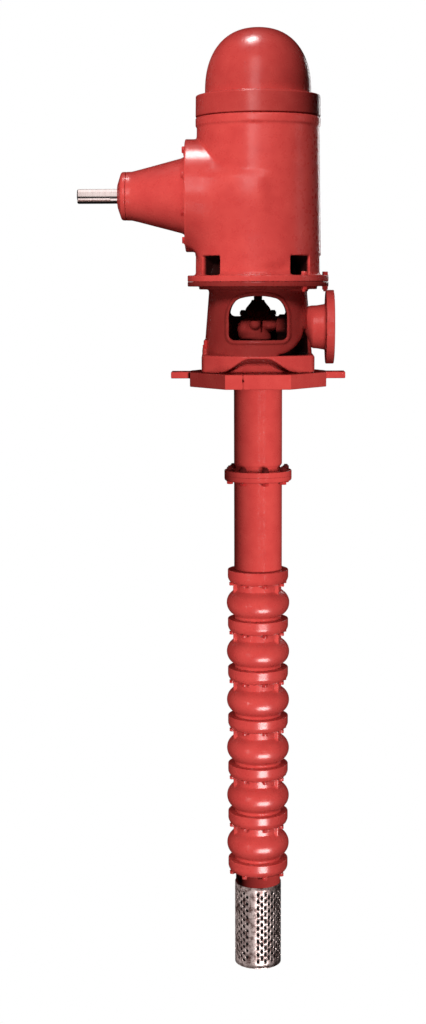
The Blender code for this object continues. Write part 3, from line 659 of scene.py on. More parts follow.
def nozzle_field(x, y, z):
    """A bell that widens and sinks to the nozzle's height and a flange, with the bore, the bolt holes
    and the passage from the elbow cut out."""
    from_centre = np.hypot(y, z - NOZZLE_Z)
    flare = ramp_between(x, NOZZLE_START, 0.192)
    middle = BELL_Z - BELL_DROP * flare
    radius = 0.037 + 0.037 * flare + 0.004 * ramp_between(x, 0.195, 0.230)
    bell = rod(np.hypot(y, z - middle), x, radius, NOZZLE_START, NOZZLE_FACE - 0.004, 0.004) * 0.8
    flange = rod(from_centre, x, NOZZLE_FLANGE, 0.2340, NOZZLE_FACE, 0.002)
    nozzle = blend(bell, flange, 0.010)
    nozzle = carve(nozzle, rod(from_centre, x, NOZZLE_BORE, 0.182, 0.40, 0.001), 0.003)
    for turn in range(8):
        angle = math.radians(22.5 + 45 * turn)
        sideways, upwards = NOZZLE_BOLTS * math.cos(angle), NOZZLE_BOLTS * math.sin(angle)
        hole = np.hypot(y - sideways, z - NOZZLE_Z - upwards) - BOLT_HOLE
        nozzle = np.maximum(nozzle, -np.maximum(hole, 0.225 - x))
    passage = rod(np.hypot(y, z - PASSAGE_Z), x, PASSAGE_RADIUS, 0.152, 0.20, 0.001)
    return carve(nozzle, passage, 0.003)


def elbow_field(x, y, z):
    """The waterway inside the head: a bar towards the nozzle, its web and the pedestal below."""
    across = np.hypot(x, y)
    elbow = rod(np.hypot(y, z - NOZZLE_Z), x, ELBOW_RADIUS, 0.020, 0.160, 0.004)
    ends = np.maximum(np.maximum(-x, x - WEB_END), np.maximum(0.1105 - z, z - NOZZLE_Z))
    web = rounded_meet(np.abs(y) - WEB_HALF, ends, 0.004)
    elbow = blend(blend(elbow, web, 0.008), rod(across, z, PEDESTAL_RADIUS, 0.1105, 0.160, 0.003), 0.012)
    elbow = np.maximum(elbow, -rod(across, z, 0.0730, 0.160, 0.30, 0.001))
    passage = rod(np.hypot(y, z - PASSAGE_Z), x, PASSAGE_IN_ELBOW, 0.150, 0.20, 0.001)
    elbow = np.maximum(elbow, -passage)
    return np.maximum(elbow, SHAFT_CLEARANCE - across)


def foot_field(x, y, z):
    """A block with two flat sides and two bowed ones, hollowed by a low arch front and rear, with a
    lug for each of two studs. A side of half width w that bows out by b is an arc of radius
    (w^2 + b^2) / 2b."""
    bow = (FOOT_HALF_X**2 + FOOT_BOW**2) / (2 * FOOT_BOW)
    bowed = np.hypot(x, np.abs(y) + bow - FOOT_HALF_Y) - bow
    foot = rounded_meet(np.abs(x) - FOOT_HALF_X, bowed, 0.012)
    foot = rounded_meet(foot, np.maximum(FOOT_BOTTOM - z, z - FOOT_TOP), 0.007)
    arch_top = FOOT_BOTTOM + 0.048 * ramp_between(np.abs(x), 0.130, 0.028)
    arch = np.maximum(np.maximum(z - arch_top, 0.140 - np.abs(y)), np.abs(x) - 0.128)
    foot = carve(foot, arch, 0.010)
    lug = np.hypot(x - FOOT_STUD_X, np.abs(y) - FOOT_STUD_Y) - 0.0115
    lug = rounded_meet(lug, np.maximum(0.10 - z, z - LUG_TOP), 0.003)
    return np.maximum(blend(foot, lug, 0.006), SHAFT_CLEARANCE - np.hypot(x, y))


def head_field(x, y, z):
    """A hollow cone: two lips are added, the cavity, the windows and the notch under the elbow are
    cut out, and the flange is joined on top."""
    across = np.hypot(x, y)
    wall = barrel_radius(z)
    head = rod(across, z, wall, FOOT_TOP - 0.006, 0.345, 0.004)
    for sill, side in WINDOWS:
        gap = window_distance(x, z, sill)
        lip = rounded_meet(gap - LIP_WIDTH, across - wall - LIP_RELIEF, 0.006)
        lip = np.maximum(lip, np.maximum(wall - 0.014 - across, -side * y))
        head = blend(head, lip, 0.004)
    cavity = rounded_meet(across - wall + 0.016, np.maximum(HEAD_FLOOR - z, z - HEAD_CEILING), 0.010)
    head = carve(head, cavity, 0.003)
    for sill, side in WINDOWS:
        cut = np.maximum(window_distance(x, z, sill), 0.05 - side * y)
        head = carve(head, cut, 0.009)
    under = 0.098 - np.hypot(x - 0.060, z - 0.210)
    notch = np.maximum(np.maximum(under, FOOT_TOP + 0.001 - z), np.maximum(z - 0.196, 0.072 - x))
    notch = np.maximum(notch, WEB_HALF - np.abs(y))
    head = carve(head, notch, 0.014)
    flange = rod(across, z, HEAD_FLANGE_RADIUS, HEAD_FLANGE_BOTTOM, HEAD_TOP, 0.0025)
    step = rod(across, z, 0.204, HEAD_FLANGE_BOTTOM - 0.010, HEAD_TOP - 0.004, 0.003)
    flange = np.maximum(blend(flange, step, 0.004), 0.120 - across)
    head = blend(head, flange, 0.010)
    return np.maximum(head, SHAFT_CLEARANCE - across)


def head_shade(x, y, z):
    """Painted shade covers the inside of the cone, up to the flange."""
    wall = barrel_radius(z)
    return ramp_between(np.hypot(x, y), wall - 0.006, wall - 0.014) * (z < HEAD_FLANGE_BOTTOM)


def foot_shade(x, y, z):
    """Painted shade darkens the foot's top where the cone stands over it."""
    return ramp_between(z, 0.104, 0.109) * ramp_between(np.hypot(x, y), 0.192, 0.180)


def elbow_shade(x, y, z):
    """Painted shade covers all of it, but for a band along the bar where light falls, where the shade is
    down to a fifth.
    """
    lit = ramp_between(np.abs(z - 0.212), 0.028, 0.014) * ramp_between(x, 0.100, 0.062)
    return 1 - 0.80 * lit


cast(
    "windowed_head", head_field,
    (-HEAD_FLANGE_RADIUS, -HEAD_FLANGE_RADIUS, FOOT_TOP - 0.006),
    (HEAD_FLANGE_RADIUS, HEAD_FLANGE_RADIUS, HEAD_TOP),
    0.0040, CAST_ENAMEL, shade_of=head_shade, stands_for=("discharge_head",),
)
cast(
    "arched_foot", foot_field,
    (-FOOT_HALF_X, -FOOT_HALF_Y, FOOT_BOTTOM), (FOOT_HALF_X, FOOT_HALF_Y, LUG_TOP),
    0.0040, CAST_ENAMEL, shade_of=foot_shade, stands_for=("discharge_head",),
)
cast(
    "discharge_nozzle", nozzle_field,
    (NOZZLE_START, -NOZZLE_FLANGE, NOZZLE_Z - NOZZLE_FLANGE),
    (NOZZLE_FACE, NOZZLE_FLANGE, NOZZLE_Z + NOZZLE_FLANGE),
    0.0036, CAST_ENAMEL, stands_for=("discharge_head",),
)
cast(
    "elbow_and_web", elbow_field,
    (-PEDESTAL_RADIUS, -PEDESTAL_RADIUS, 0.1105), (WEB_END, PEDESTAL_RADIUS, NOZZLE_Z + ELBOW_RADIUS),
    0.0040, CAST_ENAMEL, shade_of=elbow_shade, stands_for=("discharge_head",),
)

# %% [markdown]
# Inside the window stand the stuffing box and its gland. The box is a lumpy casting with a shoulder
# for each gland stud, and the gland is a flange with a tapered sleeve that hugs the shaft.

# %% Stuffing box and gland
box_low, box_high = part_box("stuffing_box")


def ellipsoid(x, y, z, centre, radii):
    """Close to a distance: (|p / radii| - 1) times the smallest radius."""
    parts = [(value - middle) / radius for value, middle, radius in zip((x, y, z), centre, radii)]
    return (np.sqrt(sum(part**2 for part in parts)) - 1) * min(radii)


def stuffing_box_field(x, y, z):
    """A low round body joined to three ellipsoids and a neck, with a narrow slot in its front."""
    across = np.hypot(x, y)
    body = rod(np.hypot(x + 0.014, y), z, 0.052, box_low.z, 0.196, 0.012)
    body = blend(body, ellipsoid(x, y, z, (-0.046, -0.012, 0.196), (0.027, 0.040, 0.034)), 0.012)
    body = blend(body, ellipsoid(x, y, z, (-0.010, -0.046, 0.214), (0.019, 0.022, 0.020)), 0.008)
    body = blend(body, ellipsoid(x, y, z, (0.040, -0.016, 0.210), (0.034, 0.040, 0.022)), 0.008)
    body = blend(body, rod(across, z, 0.046, box_low.z, box_high.z, 0.003), 0.008)
    slot = np.maximum(np.maximum(np.abs(x - 0.0125) - 0.0030, y + 0.012), 0.186 - z)
    body = carve(body, slot, 0.002)
    body = np.maximum(np.maximum(body, box_low.z - z), z - box_high.z)
    return np.maximum(body, 0.0152 - across)


cast(
    "lobed_stuffing_box", stuffing_box_field, (-0.072, -0.072, box_low.z), (0.072, 0.072, box_high.z),
    0.0028, CAST_ENAMEL, stands_for=("stuffing_box",),
)
gland_low, gland_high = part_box("packing_gland")
STUD_X, STUD_RADIUS = 0.052, 0.007
PLATE_THICKNESS, GLAND_NUT_SEAT, HEAD_SHAFT_RADIUS = 0.019, 0.0192, 0.0145


def gland_field(x, y, z):
    """An oval plate and a sleeve that narrows upwards, with holes for the shaft and the studs."""
    across = np.hypot(x, y)
    ears = np.hypot(np.maximum(np.abs(x) - 0.046, 0), y) - (0.034 - 0.45 * np.maximum(np.abs(x) - 0.02, 0))
    plate = rounded_meet(ears, np.maximum(gland_low.z - z, z - gland_low.z - PLATE_THICKNESS), 0.003)
    radius = 0.022 + 0.022 * ramp_between(z, 0.298, 0.260)
    sleeve = rod(across, z, radius, gland_low.z, gland_high.z, 0.002)
    gland = blend(plate, sleeve, 0.006)
    gland = np.maximum(gland, 0.0152 - across)
    return np.maximum(gland, 0.0075 - np.hypot(np.abs(x) - STUD_X, y))


cast(
    "tapered_packing_gland", gland_field, (-0.068, -0.046, gland_low.z), (0.068, 0.046, gland_high.z),
    0.0024, CAST_ENAMEL, stands_for=("packing_gland",),
)
turned(
    "turned_head_shaft",
    [(0, shaft_high.z, 0), (HEAD_SHAFT_RADIUS, shaft_high.z, 0.001),
     (HEAD_SHAFT_RADIUS, shaft_low.z, 0.001), (0, shaft_low.z, 0)],
    SHAFT_STEEL, steps=64, body=HEAD_BODY, stands_for=("head_shaft",), slot="steel",
)

# %% [markdown]
# ## Base plate
#
# The head stands on a flame-cut plate with eight sides. A lug on each side takes an anchor bolt. The
# plate is made in two halves, and the joint shows as a thin line at the front with a dowel hole.

# %% Base plate
plate_low, plate_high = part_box("base_plate")
PLATE_TOP = plate_high.z
HALF_X, HALF_Y, FRONT_X, SIDE_Y = 0.235, 0.245, 0.110, 0.070
ANCHOR_X, ANCHOR_RADIUS, LUG_BOTTOM = 0.268, 0.011, 0.027
JOINT_X, COLUMN_HOLE = -0.050, 0.0848


def base_plate_field(x, y, z):
    """A slab cut to eight sides, lugs that narrow outwards, and the holes and the joint cut out."""
    corner = np.array([HALF_Y - SIDE_Y, HALF_X - FRONT_X])
    corner = corner / np.hypot(*corner)
    sloped = (np.abs(x) - HALF_X) * corner[0] + (np.abs(y) - SIDE_Y) * corner[1]
    outline = np.maximum(np.maximum(np.abs(x) - HALF_X, np.abs(y) - HALF_Y), sloped)
    plate = rounded_meet(outline, np.maximum(-z, z - PLATE_TOP), 0.003)
    slope = (np.abs(x) - 0.205) * (0.065 / 0.030)
    width = np.clip(0.105 - slope, 0.040, 0.105)
    lug_outline = np.maximum(np.abs(y) - width, np.abs(x) - plate_high.x)
    lug = rounded_meet(lug_outline, np.maximum(LUG_BOTTOM - z, z - PLATE_TOP), 0.003)
    plate = blend(plate, lug, 0.004)
    plate = np.maximum(plate, COLUMN_HOLE - np.hypot(x, y))
    joint = np.maximum(np.abs(x - JOINT_X) - 0.0009, y + 0.090)
    plate = np.maximum(plate, -np.maximum(joint, -0.250 - y))
    dowel = np.maximum(np.hypot(x - JOINT_X, z - 0.030) - 0.004, y + 0.220)
    plate = np.maximum(plate, -dowel)
    return np.maximum(plate, ANCHOR_RADIUS - np.hypot(np.abs(x) - ANCHOR_X, y))


cast(
    "base_plate_halves", base_plate_field, (plate_low.x, -HALF_Y, 0.0), (plate_high.x, HALF_Y, PLATE_TOP),
    0.0032, CAST_ENAMEL, stands_for=("base_plate",),
)

# %% [markdown]
# ## Column
#
# Two lengths of pipe meet in a pair of flanges. The upper pipe necks down just above them, so that
# a spanner fits between the pipe and the nuts.

# %% Column pipes and flanges
PIPE_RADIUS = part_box("column_pipe_upper")[1].x
upper_low, upper_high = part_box("column_pipe_upper")
turned(
    "upper_column_pipe",
    [(0, upper_high.z, 0), (PIPE_RADIUS, upper_high.z, 0.001), (PIPE_RADIUS, upper_low.z + 0.020, 0.012),
     (0.0765, upper_low.z + 0.012, 0.006), (0.078, upper_low.z, 0), (0, upper_low.z, 0)],
    PIPE_ENAMEL, steps=80, stands_for=("column_pipe_upper",), slot="pipe_enamel",
)
lower_low, lower_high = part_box("column_pipe_lower")
turned(
    "lower_column_pipe",
    [(0, lower_high.z, 0), (PIPE_RADIUS, lower_high.z, 0), (PIPE_RADIUS, lower_low.z + 0.002, 0.001),
     (PIPE_RADIUS - 0.002, lower_low.z, 0), (0, lower_low.z, 0)],
    PIPE_ENAMEL, steps=80, stands_for=("column_pipe_lower",), slot="pipe_enamel",
)
for node, name, top_edge, low_edge in (
    ("column_flange_upper", "upper_pipe_flange", 0.003, 0.0008),
    ("column_flange_lower", "lower_pipe_flange", 0.0008, 0.009),
):
    low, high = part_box(node)
    turned(
        name,
        [(0, high.z, 0), (high.x, high.z, top_edge), (high.x, low.z, low_edge), (0, low.z, 0)],
        CAST_ENAMEL, steps=88, stands_for=(node,),
    )

# %% [markdown]
# ## Bowls
#
# Each bowl is a pump stage: a flange ring on top, a short neck with ribs, and the swelling case of
# the diffuser. The profile is turned, and three ribs are added to its radius where the neck is. The
# ring is cast with the bowl on the real pump. Here it is turned as a piece of its own, so that a
# studio can give ring and bowl a highlight each.

# %% Six bowls
BOWL_COUNT = 6
RIB_ANGLES = np.radians([-69.0 - 90, 51.0 - 90, 171.0 - 90])
RIB_RADIUS, RIB_HALF = 0.0935, 0.045
RING_DEPTH, RING_RADIUS, NECK_RADIUS = 0.0490, 0.107, 0.0825
BOWL_ROWS, BOWL_STEPS, RING_STEPS = 64, 216, 96


def ring_corners(top):
    """The flange ring: a straight side and a deep rounded chamfer below it."""
    return [
        (0, top, 0), (RING_RADIUS, top, 0.003), (RING_RADIUS, top - 0.030, 0.006),
        (0.1005, top - 0.0430, 0.012), (0.0905, top - 0.0495, 0.004), (0.0780, top - 0.0500, 0.001),
        (0, top - 0.0500, 0),
    ]


def bowl_line(top, foot):
    """r is the smooth maximum of the neck's radius and an ellipse 94 mm high."""
    height = np.linspace(top - RING_DEPTH, foot, BOWL_ROWS)
    climb = np.clip(1 - ((height - top + 0.1200) / 0.047) ** 2, 0, 1)
    radius = -blend(np.full(BOWL_ROWS, -NECK_RADIUS), -(0.066 + 0.045 * np.sqrt(climb)), 0.012)
    case = np.stack([radius, height], -1)
    return np.concatenate([[[0.0, height[0]]], case, [[0.0, foot]]])


def with_ribs(top):
    """Three ribs fill the neck out to one radius, between the ring and the bowl's shoulder."""
    def ribbed(angle, height, radius):
        """r grows towards the ribs' radius by a smooth step of the angle from each rib's middle."""
        away = [np.abs(np.angle(np.exp(1j * (angle - middle)))) for middle in RIB_ANGLES]
        rib = sum(ramp_between(gap, RIB_HALF + 0.06, RIB_HALF - 0.03) for gap in away)
        level = (height < top - 0.0485) & (height > top - 0.115)
        return radius + np.maximum(RIB_RADIUS - radius, 0) * rib * level
    return ribbed


for number in range(1, BOWL_COUNT + 1):
    low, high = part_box(f"bowl_{number}")
    line = bowl_line(high.z, low.z)
    points = ring_points(line, BOWL_STEPS, reshape=with_ribs(high.z))
    faces = grid_faces(len(line), BOWL_STEPS)
    make_piece(f"diffuser_bowl_{number}", points, faces, CAST_ENAMEL, stands_for=(f"bowl_{number}",))
    turned(f"flange_ring_{number}", ring_corners(high.z), CAST_ENAMEL, steps=RING_STEPS)

# %% [markdown]
# The last ring belongs to the suction case and has the same profile as the others. The case below
# it is a plain cylinder that steps in where its spigot goes down into the strainer.

# %% Suction case
case_bottom, case_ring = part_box("suction_case")
strainer_low, strainer_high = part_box("strainer_shell")
turned("flange_ring_7", ring_corners(case_ring.z), CAST_ENAMEL, steps=RING_STEPS)
spigot_top = case_ring.z - RING_DEPTH
turned(
    "suction_spigot_case",
    [
        (0, spigot_top, 0), (0.0800, spigot_top, 0.002), (0.0798, strainer_high.z - 0.002, 0.001),
        (0.0745, strainer_high.z - 0.006, 0.001), (0.0745, case_bottom.z, 0.001), (0, case_bottom.z, 0),
    ],
    CAST_ENAMEL, steps=88, stands_for=("suction_case",),
)

# %% [markdown]
# ## Strainer
#
# The strainer is a sheet with round holes in staggered rows, rolled into a tube and closed by a
# plain seam. One hole in its own small rectangle is the pattern. The rectangle's rim has sixteen
# points, spaced so that a neighbour half a pitch lower still shares them, and the grid of hole rim
# and rectangle rim is copied over the sheet, then rolled: x = R sin a, y = -R cos a.

# %% Perforated strainer
STRAINER_RADIUS = strainer_high.x
HOLE_RADIUS, HOLE_COLUMNS, SEAM_COLUMNS = 0.0062, 38, 2
HOLE_PITCH = 0.0250
SEAM_ANGLE = math.radians(-14)
column_angle = 2 * np.pi / HOLE_COLUMNS
column_width = STRAINER_RADIUS * column_angle
RIM_HEIGHT = 0.012
hole_rows = int((strainer_high.z - strainer_low.z - 2 * RIM_HEIGHT) / HOLE_PITCH)
sheet_bottom = (strainer_high.z + strainer_low.z - hole_rows * HOLE_PITCH) / 2


def cell_rim():
    """Sixteen points round a rectangle one column wide and one pitch high, from its lower left."""
    t = np.linspace(0, 1, 5)[:-1]
    w, h = column_width / 2, HOLE_PITCH / 2
    across = np.concatenate([-w + 2 * w * t, np.full(4, w), w - 2 * w * t, np.full(4, -w)])
    along = np.concatenate([np.full(4, -h), -h + 2 * h * t, np.full(4, h), h - 2 * h * t])
    return np.stack([across, along], -1)


def perforated_sheet():
    """Every cell as two rings of points, its rim and its hole, with quads between them."""
    rim = cell_rim()
    turn = np.arctan2(rim[:, 1], rim[:, 0])
    hole = HOLE_RADIUS * np.stack([np.cos(turn), np.sin(turn)], -1)
    cell = np.stack([rim, hole])
    columns, rows = np.meshgrid(np.arange(SEAM_COLUMNS, HOLE_COLUMNS), np.arange(hole_rows))
    columns, rows = columns.ravel(), rows.ravel()
    odd = columns % 2 == 1
    keep = ~(odd & (rows == hole_rows - 1))
    columns, rows, odd = columns[keep], rows[keep], odd[keep]
    centre_u = (columns + 0.5) * column_width
    centre_v = sheet_bottom + (rows + 0.5 + 0.5 * odd) * HOLE_PITCH
    points = cell[None] + np.stack([centre_u, centre_v], -1)[:, None, None, :]
    index = np.arange(16)
    ring = np.stack([index, np.roll(index, -1), np.roll(index, -1) + 16, index + 16], -1)
    faces = (ring[None] + 32 * np.arange(len(columns))[:, None, None]).reshape(-1, 4)
    return points.reshape(-1, 2), faces


def plain_patch(u_low, u_high, v_low, v_high, across=4, along=4):
    """A grid of quads over a plain rectangle of the sheet."""
    u, v = np.meshgrid(np.linspace(u_low, u_high, across + 1), np.linspace(v_low, v_high, along + 1))
    index = np.arange(u.size).reshape(u.shape)
    quads = np.stack([index[:-1, :-1], index[:-1, 1:], index[1:, 1:], index[1:, :-1]], -1)
    return np.stack([u, v], -1).reshape(-1, 2), quads.reshape(-1, 4)


parts = [perforated_sheet()]
sheet_top = sheet_bottom + hole_rows * HOLE_PITCH
for column in range(SEAM_COLUMNS, HOLE_COLUMNS):
    left, right = column * column_width, (column + 1) * column_width
    if column % 2:
        for start in (sheet_bottom, sheet_top - HOLE_PITCH / 2):
            parts.append(plain_patch(left, right, start, start + HOLE_PITCH / 2, 4, 2))
parts.append(plain_patch(0, SEAM_COLUMNS * column_width, sheet_bottom, sheet_top, 8, 4 * hole_rows))
turns = HOLE_COLUMNS * column_width
parts.append(plain_patch(0, turns, strainer_low.z, sheet_bottom, 4 * HOLE_COLUMNS, 1))
parts.append(plain_patch(0, turns, sheet_top, strainer_high.z, 4 * HOLE_COLUMNS, 1))
flat = np.concatenate([points for points, _ in parts])
starts = np.cumsum([0] + [len(points) for points, _ in parts[:-1]])
faces = np.concatenate([quads + start for (_, quads), start in zip(parts, starts)])
roll = flat[:, 0] / STRAINER_RADIUS + SEAM_ANGLE - column_angle * SEAM_COLUMNS / 2
rolled = np.stack([STRAINER_RADIUS * np.sin(roll), -STRAINER_RADIUS * np.cos(roll), flat[:, 1]], -1)
strainer = make_piece(
    "perforated_strainer", rolled + AXIS, faces, SHEET_STEEL,
    stands_for=("strainer_shell",), slot="strainer_steel",
)
SHEET_THICKNESS = 0.0025
wall = strainer.modifiers.new("sheet_thickness", "SOLIDIFY")
wall.thickness = SHEET_THICKNESS
wall.offset = -1.0
print("holes", (HOLE_COLUMNS - SEAM_COLUMNS) * hole_rows, "rows", hole_rows)

# %% [markdown]
# The real strainer is dark inside, because hardly any light gets through its holes. A matt black
# drum just behind the sheet gives the same look and keeps the far side's holes from showing.

# %% Inside and bottom of the strainer
INSIDE = new_material("unlit_inside_of_the_strainer", Base_Color=paint("#0D0B0B"), Roughness=0.9)[0]
DRUM_RADIUS = 0.0768
drum_top, drum_bottom = strainer_high.z - 0.007, strainer_low.z + 0.001
turned(
    "strainer_inner_shade",
    [(0, drum_top, 0), (DRUM_RADIUS, drum_top, 0), (DRUM_RADIUS, drum_bottom, 0), (0, drum_bottom, 0)],
    INSIDE, steps=88, slot="strainer_steel",
)
bottom_low, bottom_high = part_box("strainer_bottom")
turned(
    "strainer_base_disc",
    [(0, bottom_high.z, 0), (bottom_high.x, bottom_high.z, 0.0006), (bottom_high.x, bottom_low.z, 0.0010),
     (0, bottom_low.z, 0)],
    SHEET_STEEL, steps=88, stands_for=("strainer_bottom",), slot="strainer_steel",
)

# %% [markdown]
# ## Fasteners
#
# All bolts come from one template: a hexagon head with a chamfered top on a washer, and where a nut
# is meant, the end of the stud standing out of it. The template is a small grid over angle and
# height, and numpy copies it to every place at once.

# %% Bolt template and copies
BOLT_STEPS = 24


def bolt_grid(across_flats, head, washer, tip=0.0, tip_radius=0.0):
    """Rows of a bolt head standing on z = 0: washer, hexagon r = f / cos(b), chamfer, and stud end."""
    angle = np.linspace(0, 2 * np.pi, BOLT_STEPS, endpoint=False)
    flat = across_flats / 2
    hexagon = flat / np.cos((angle + np.pi / 6) % (np.pi / 3) - np.pi / 6)
    round_one = np.ones(BOLT_STEPS)
    thick = 0.12 * head
    rows = [(0 * round_one, 0.0), (washer * round_one, 0.0), (washer * round_one, 0.7 * thick),
            (0.96 * washer * round_one, thick), (hexagon, thick), (hexagon, 0.86 * head),
            (np.minimum(hexagon, flat * 1.02), 0.94 * head), (0.93 * flat * round_one, head)]
    if tip:
        rows += [(tip_radius * round_one, head), (tip_radius * round_one, head + 0.8 * tip),
                 (0.8 * tip_radius * round_one, head + tip), (0 * round_one, head + tip)]
    else:
        rows.append((0 * round_one, head))
    return np.array([
        np.stack([radius * np.cos(angle), radius * np.sin(angle), np.full(BOLT_STEPS, height)], -1)
        for radius, height in rows
    ])


def bolts(name, grid, spots, direction, material=BOLT_ENAMEL, slot="enamel"):
    """Copies the template to each spot, its axis turned from +Z to the direction given."""
    up = np.array(direction, float)
    side = np.cross([0.0, 1.0, 0.0], up)
    side = side / np.linalg.norm(side)
    turn = np.stack([side, np.cross(up, side), up])
    points = (grid.reshape(-1, 3) @ turn)[None] + np.asarray(spots)[:, None, :] + AXIS
    rows, columns = grid.shape[:2]
    starts = rows * columns * np.arange(len(spots))
    faces = (grid_faces(rows, columns)[None] + starts[:, None, None]).reshape(-1, 4)
    return make_piece(name, points, faces, material, slot=slot)


def circle(count, radius, height, first_deg=0.0):
    """Spots on a circle about the pump axis, angles counted from the front towards +X."""
    angle = np.radians(first_deg) + 2 * np.pi * np.arange(count) / count
    return np.stack([radius * np.sin(angle), -radius * np.cos(angle), np.full(count, height)], -1)


# %% Flange bolts
UP, DOWN = (0, 0, 1), (0, 0, -1)
FRONT_BOLT = 15.0
pair_top, pair_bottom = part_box("column_flange_upper")[1].z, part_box("column_flange_lower")[0].z
COLUMN_CIRCLE, RING_CIRCLE, RING_SEAT = 0.1015, 0.0955, 0.0440
nut_spots = circle(8, COLUMN_CIRCLE, pair_top, FRONT_BOLT)
bolts("column_flange_nuts", bolt_grid(0.0215, 0.012, 0.0125, 0.005, 0.0070), nut_spots, UP, NUT_ENAMEL)
bolt_spots = circle(8, COLUMN_CIRCLE, pair_bottom, FRONT_BOLT)
bolts("column_flange_bolts", bolt_grid(0.0215, 0.010, 0.0125), bolt_spots, DOWN)
ring_tops = [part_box(f"bowl_{number}")[1].z for number in range(1, BOWL_COUNT + 1)] + [case_ring.z]
ring_spots = [circle(8, RING_CIRCLE, top - RING_SEAT, FRONT_BOLT) for top in ring_tops]
bolts("bowl_ring_bolts", bolt_grid(0.018, 0.011, 0.0095), np.concatenate(ring_spots), DOWN)

# %% Foot studs
foot_spots = [[FOOT_STUD_X, side * FOOT_STUD_Y, LUG_TOP] for side in (-1, 1)]
bolts("foot_studs", bolt_grid(0.019, 0.014, 0.0110, 0.016, 0.0065), foot_spots, UP)

# %% Gear drive bolts
pocket_spots = np.stack([
    BOLT_CIRCLE * np.sin(POCKET_ANGLES), -BOLT_CIRCLE * np.cos(POCKET_ANGLES), np.full(6, GEAR_FLANGE_TOP),
], -1)
bolts("gear_flange_bolts", bolt_grid(0.019, 0.012, 0.0115), pocket_spots[1:5], UP)
under = pocket_spots[1:5].copy()
under[:, 2] = HEAD_FLANGE_BOTTOM
bolts("gear_flange_nuts", bolt_grid(0.019, 0.012, 0.0115, 0.006, 0.006), under, DOWN)
BOSS_CIRCLE = 0.164
boss_angle = np.radians(22.5 + 45 * np.arange(8))
boss_spots = np.stack([
    np.full(8, BOSS_FACE), BOSS_CIRCLE * np.cos(boss_angle), INPUT_Z + BOSS_CIRCLE * np.sin(boss_angle),
], -1)
bolts("pinion_flange_bolts", bolt_grid(0.022, 0.010, 0.0125), boss_spots, (-1, 0, 0))

# %% Gland studs and nuts
for node, name in (("gland_stud_left", "left_gland_stud"), ("gland_stud_right", "right_gland_stud")):
    low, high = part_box(node)
    middle = np.array([(low.x + high.x) / 2, (low.y + high.y) / 2, 0.0])
    profile = rounded([
        (0, high.z, 0), (STUD_RADIUS, high.z, 0.001), (STUD_RADIUS, low.z, 0), (0, low.z, 0),
    ])
    stud = ring_points(profile, 32) - AXIS + middle
    make_piece(name, stud, grid_faces(len(profile), 32), SHAFT_STEEL, stands_for=(node,), slot="steel")
gland_top = gland_low.z + GLAND_NUT_SEAT
bolts(
    "gland_nuts", bolt_grid(0.022, 0.012, 0.0125, 0.004, 0.0080),
    [[side * STUD_X, 0.0, gland_top] for side in (-1, 1)], UP, SHAFT_STEEL, "steel",
)

# %% [markdown]
# ## Stage
#
# The real pump hangs in a well. Here a plain floor lies just under the strainer. It glows white and
# so does the surround, so no lamp changes how they look. The camera sees both, but they give the
# pump no light and no reflection, so the lamps below decide alone how its paint looks.

# %% Floor and surround
floor_mesh = bpy.data.meshes.new("floor")
FLOOR_REACH, FLOOR_GAP = 14.0, 0.012
floor_z = cad_box[0][2] - FLOOR_GAP
signs = ((-1, -1), (1, -1), (1, 1), (-1, 1))
floor_corners = [(FLOOR_REACH * a, FLOOR_REACH * b, floor_z) for a, b in signs]
floor_mesh.from_pydata(floor_corners, [], [(0, 1, 2, 3)])
floor = bpy.data.objects.new("floor", floor_mesh)
bpy.context.scene.collection.objects.link(floor)
floor_paint, _, floor_shader = new_material(
    "matt_white_floor_paint", Base_Color=(0, 0, 0, 1), Roughness=1.0,
    Emission_Color=(1, 1, 1, 1), Emission_Strength=1.0,
)
floor_shader.inputs["Specular IOR Level"].default_value = 0.0
floor_mesh.materials.append(floor_paint)
floor.visible_diffuse = False
floor.visible_glossy = False
floor.visible_shadow = False
world = bpy.data.worlds.new("white_surround")
world.use_nodes = True
world.node_tree.nodes["Background"].inputs["Color"].default_value = (1, 1, 1, 1)
world.node_tree.nodes["Background"].inputs["Strength"].default_value = 1.0
world.cycles_visibility.diffuse = False
world.cycles_visibility.glossy = False
bpy.context.scene.world = world
bpy.context.scene.view_settings.view_transform = "Standard"

# %% [markdown]
# A studio lights paint twice over: soft lamps give it its colour, and white cards give it its
# highlights. The lamps here light only matt reflection, and the cards show only in the gloss, so
# each highlight can be put where it belongs. A pump over three metres long can't be lit evenly by
# one lamp near it, so most lamps light only the pieces whose names start as listed below, which
# Blender calls light linking. Every lamp is placed by the angle it is seen at from a point on the
# pump's axis: azimuth from the front towards +X, and elevation.

# %% Which pieces a lamp lights
pieces = [thing for thing in bpy.context.scene.objects if thing.type == "MESH" and thing.parent]
CAP = ("gear_dome",)
SHAFT = ("keyed_input_shaft",)
DRIVE = ("gear_case", "pinion", "gear_flange")
HEAD = ("windowed_head", "lobed", "elbow")
FOOT = ("arched_foot", "foot_studs", "discharge_nozzle")
PLATE = ("base_plate",)
PIPES = ("upper_", "lower_", "column_")
RINGS = ("flange_ring", "bowl_ring_bolts")
STREAKED = tuple(f"flange_ring_{number}" for number in range(2, 8))
BOWLS = ("diffuser",)
SPIGOT = ("suction",)
BASKET = ("perforated", "strainer")
print("pieces to light", len(pieces))


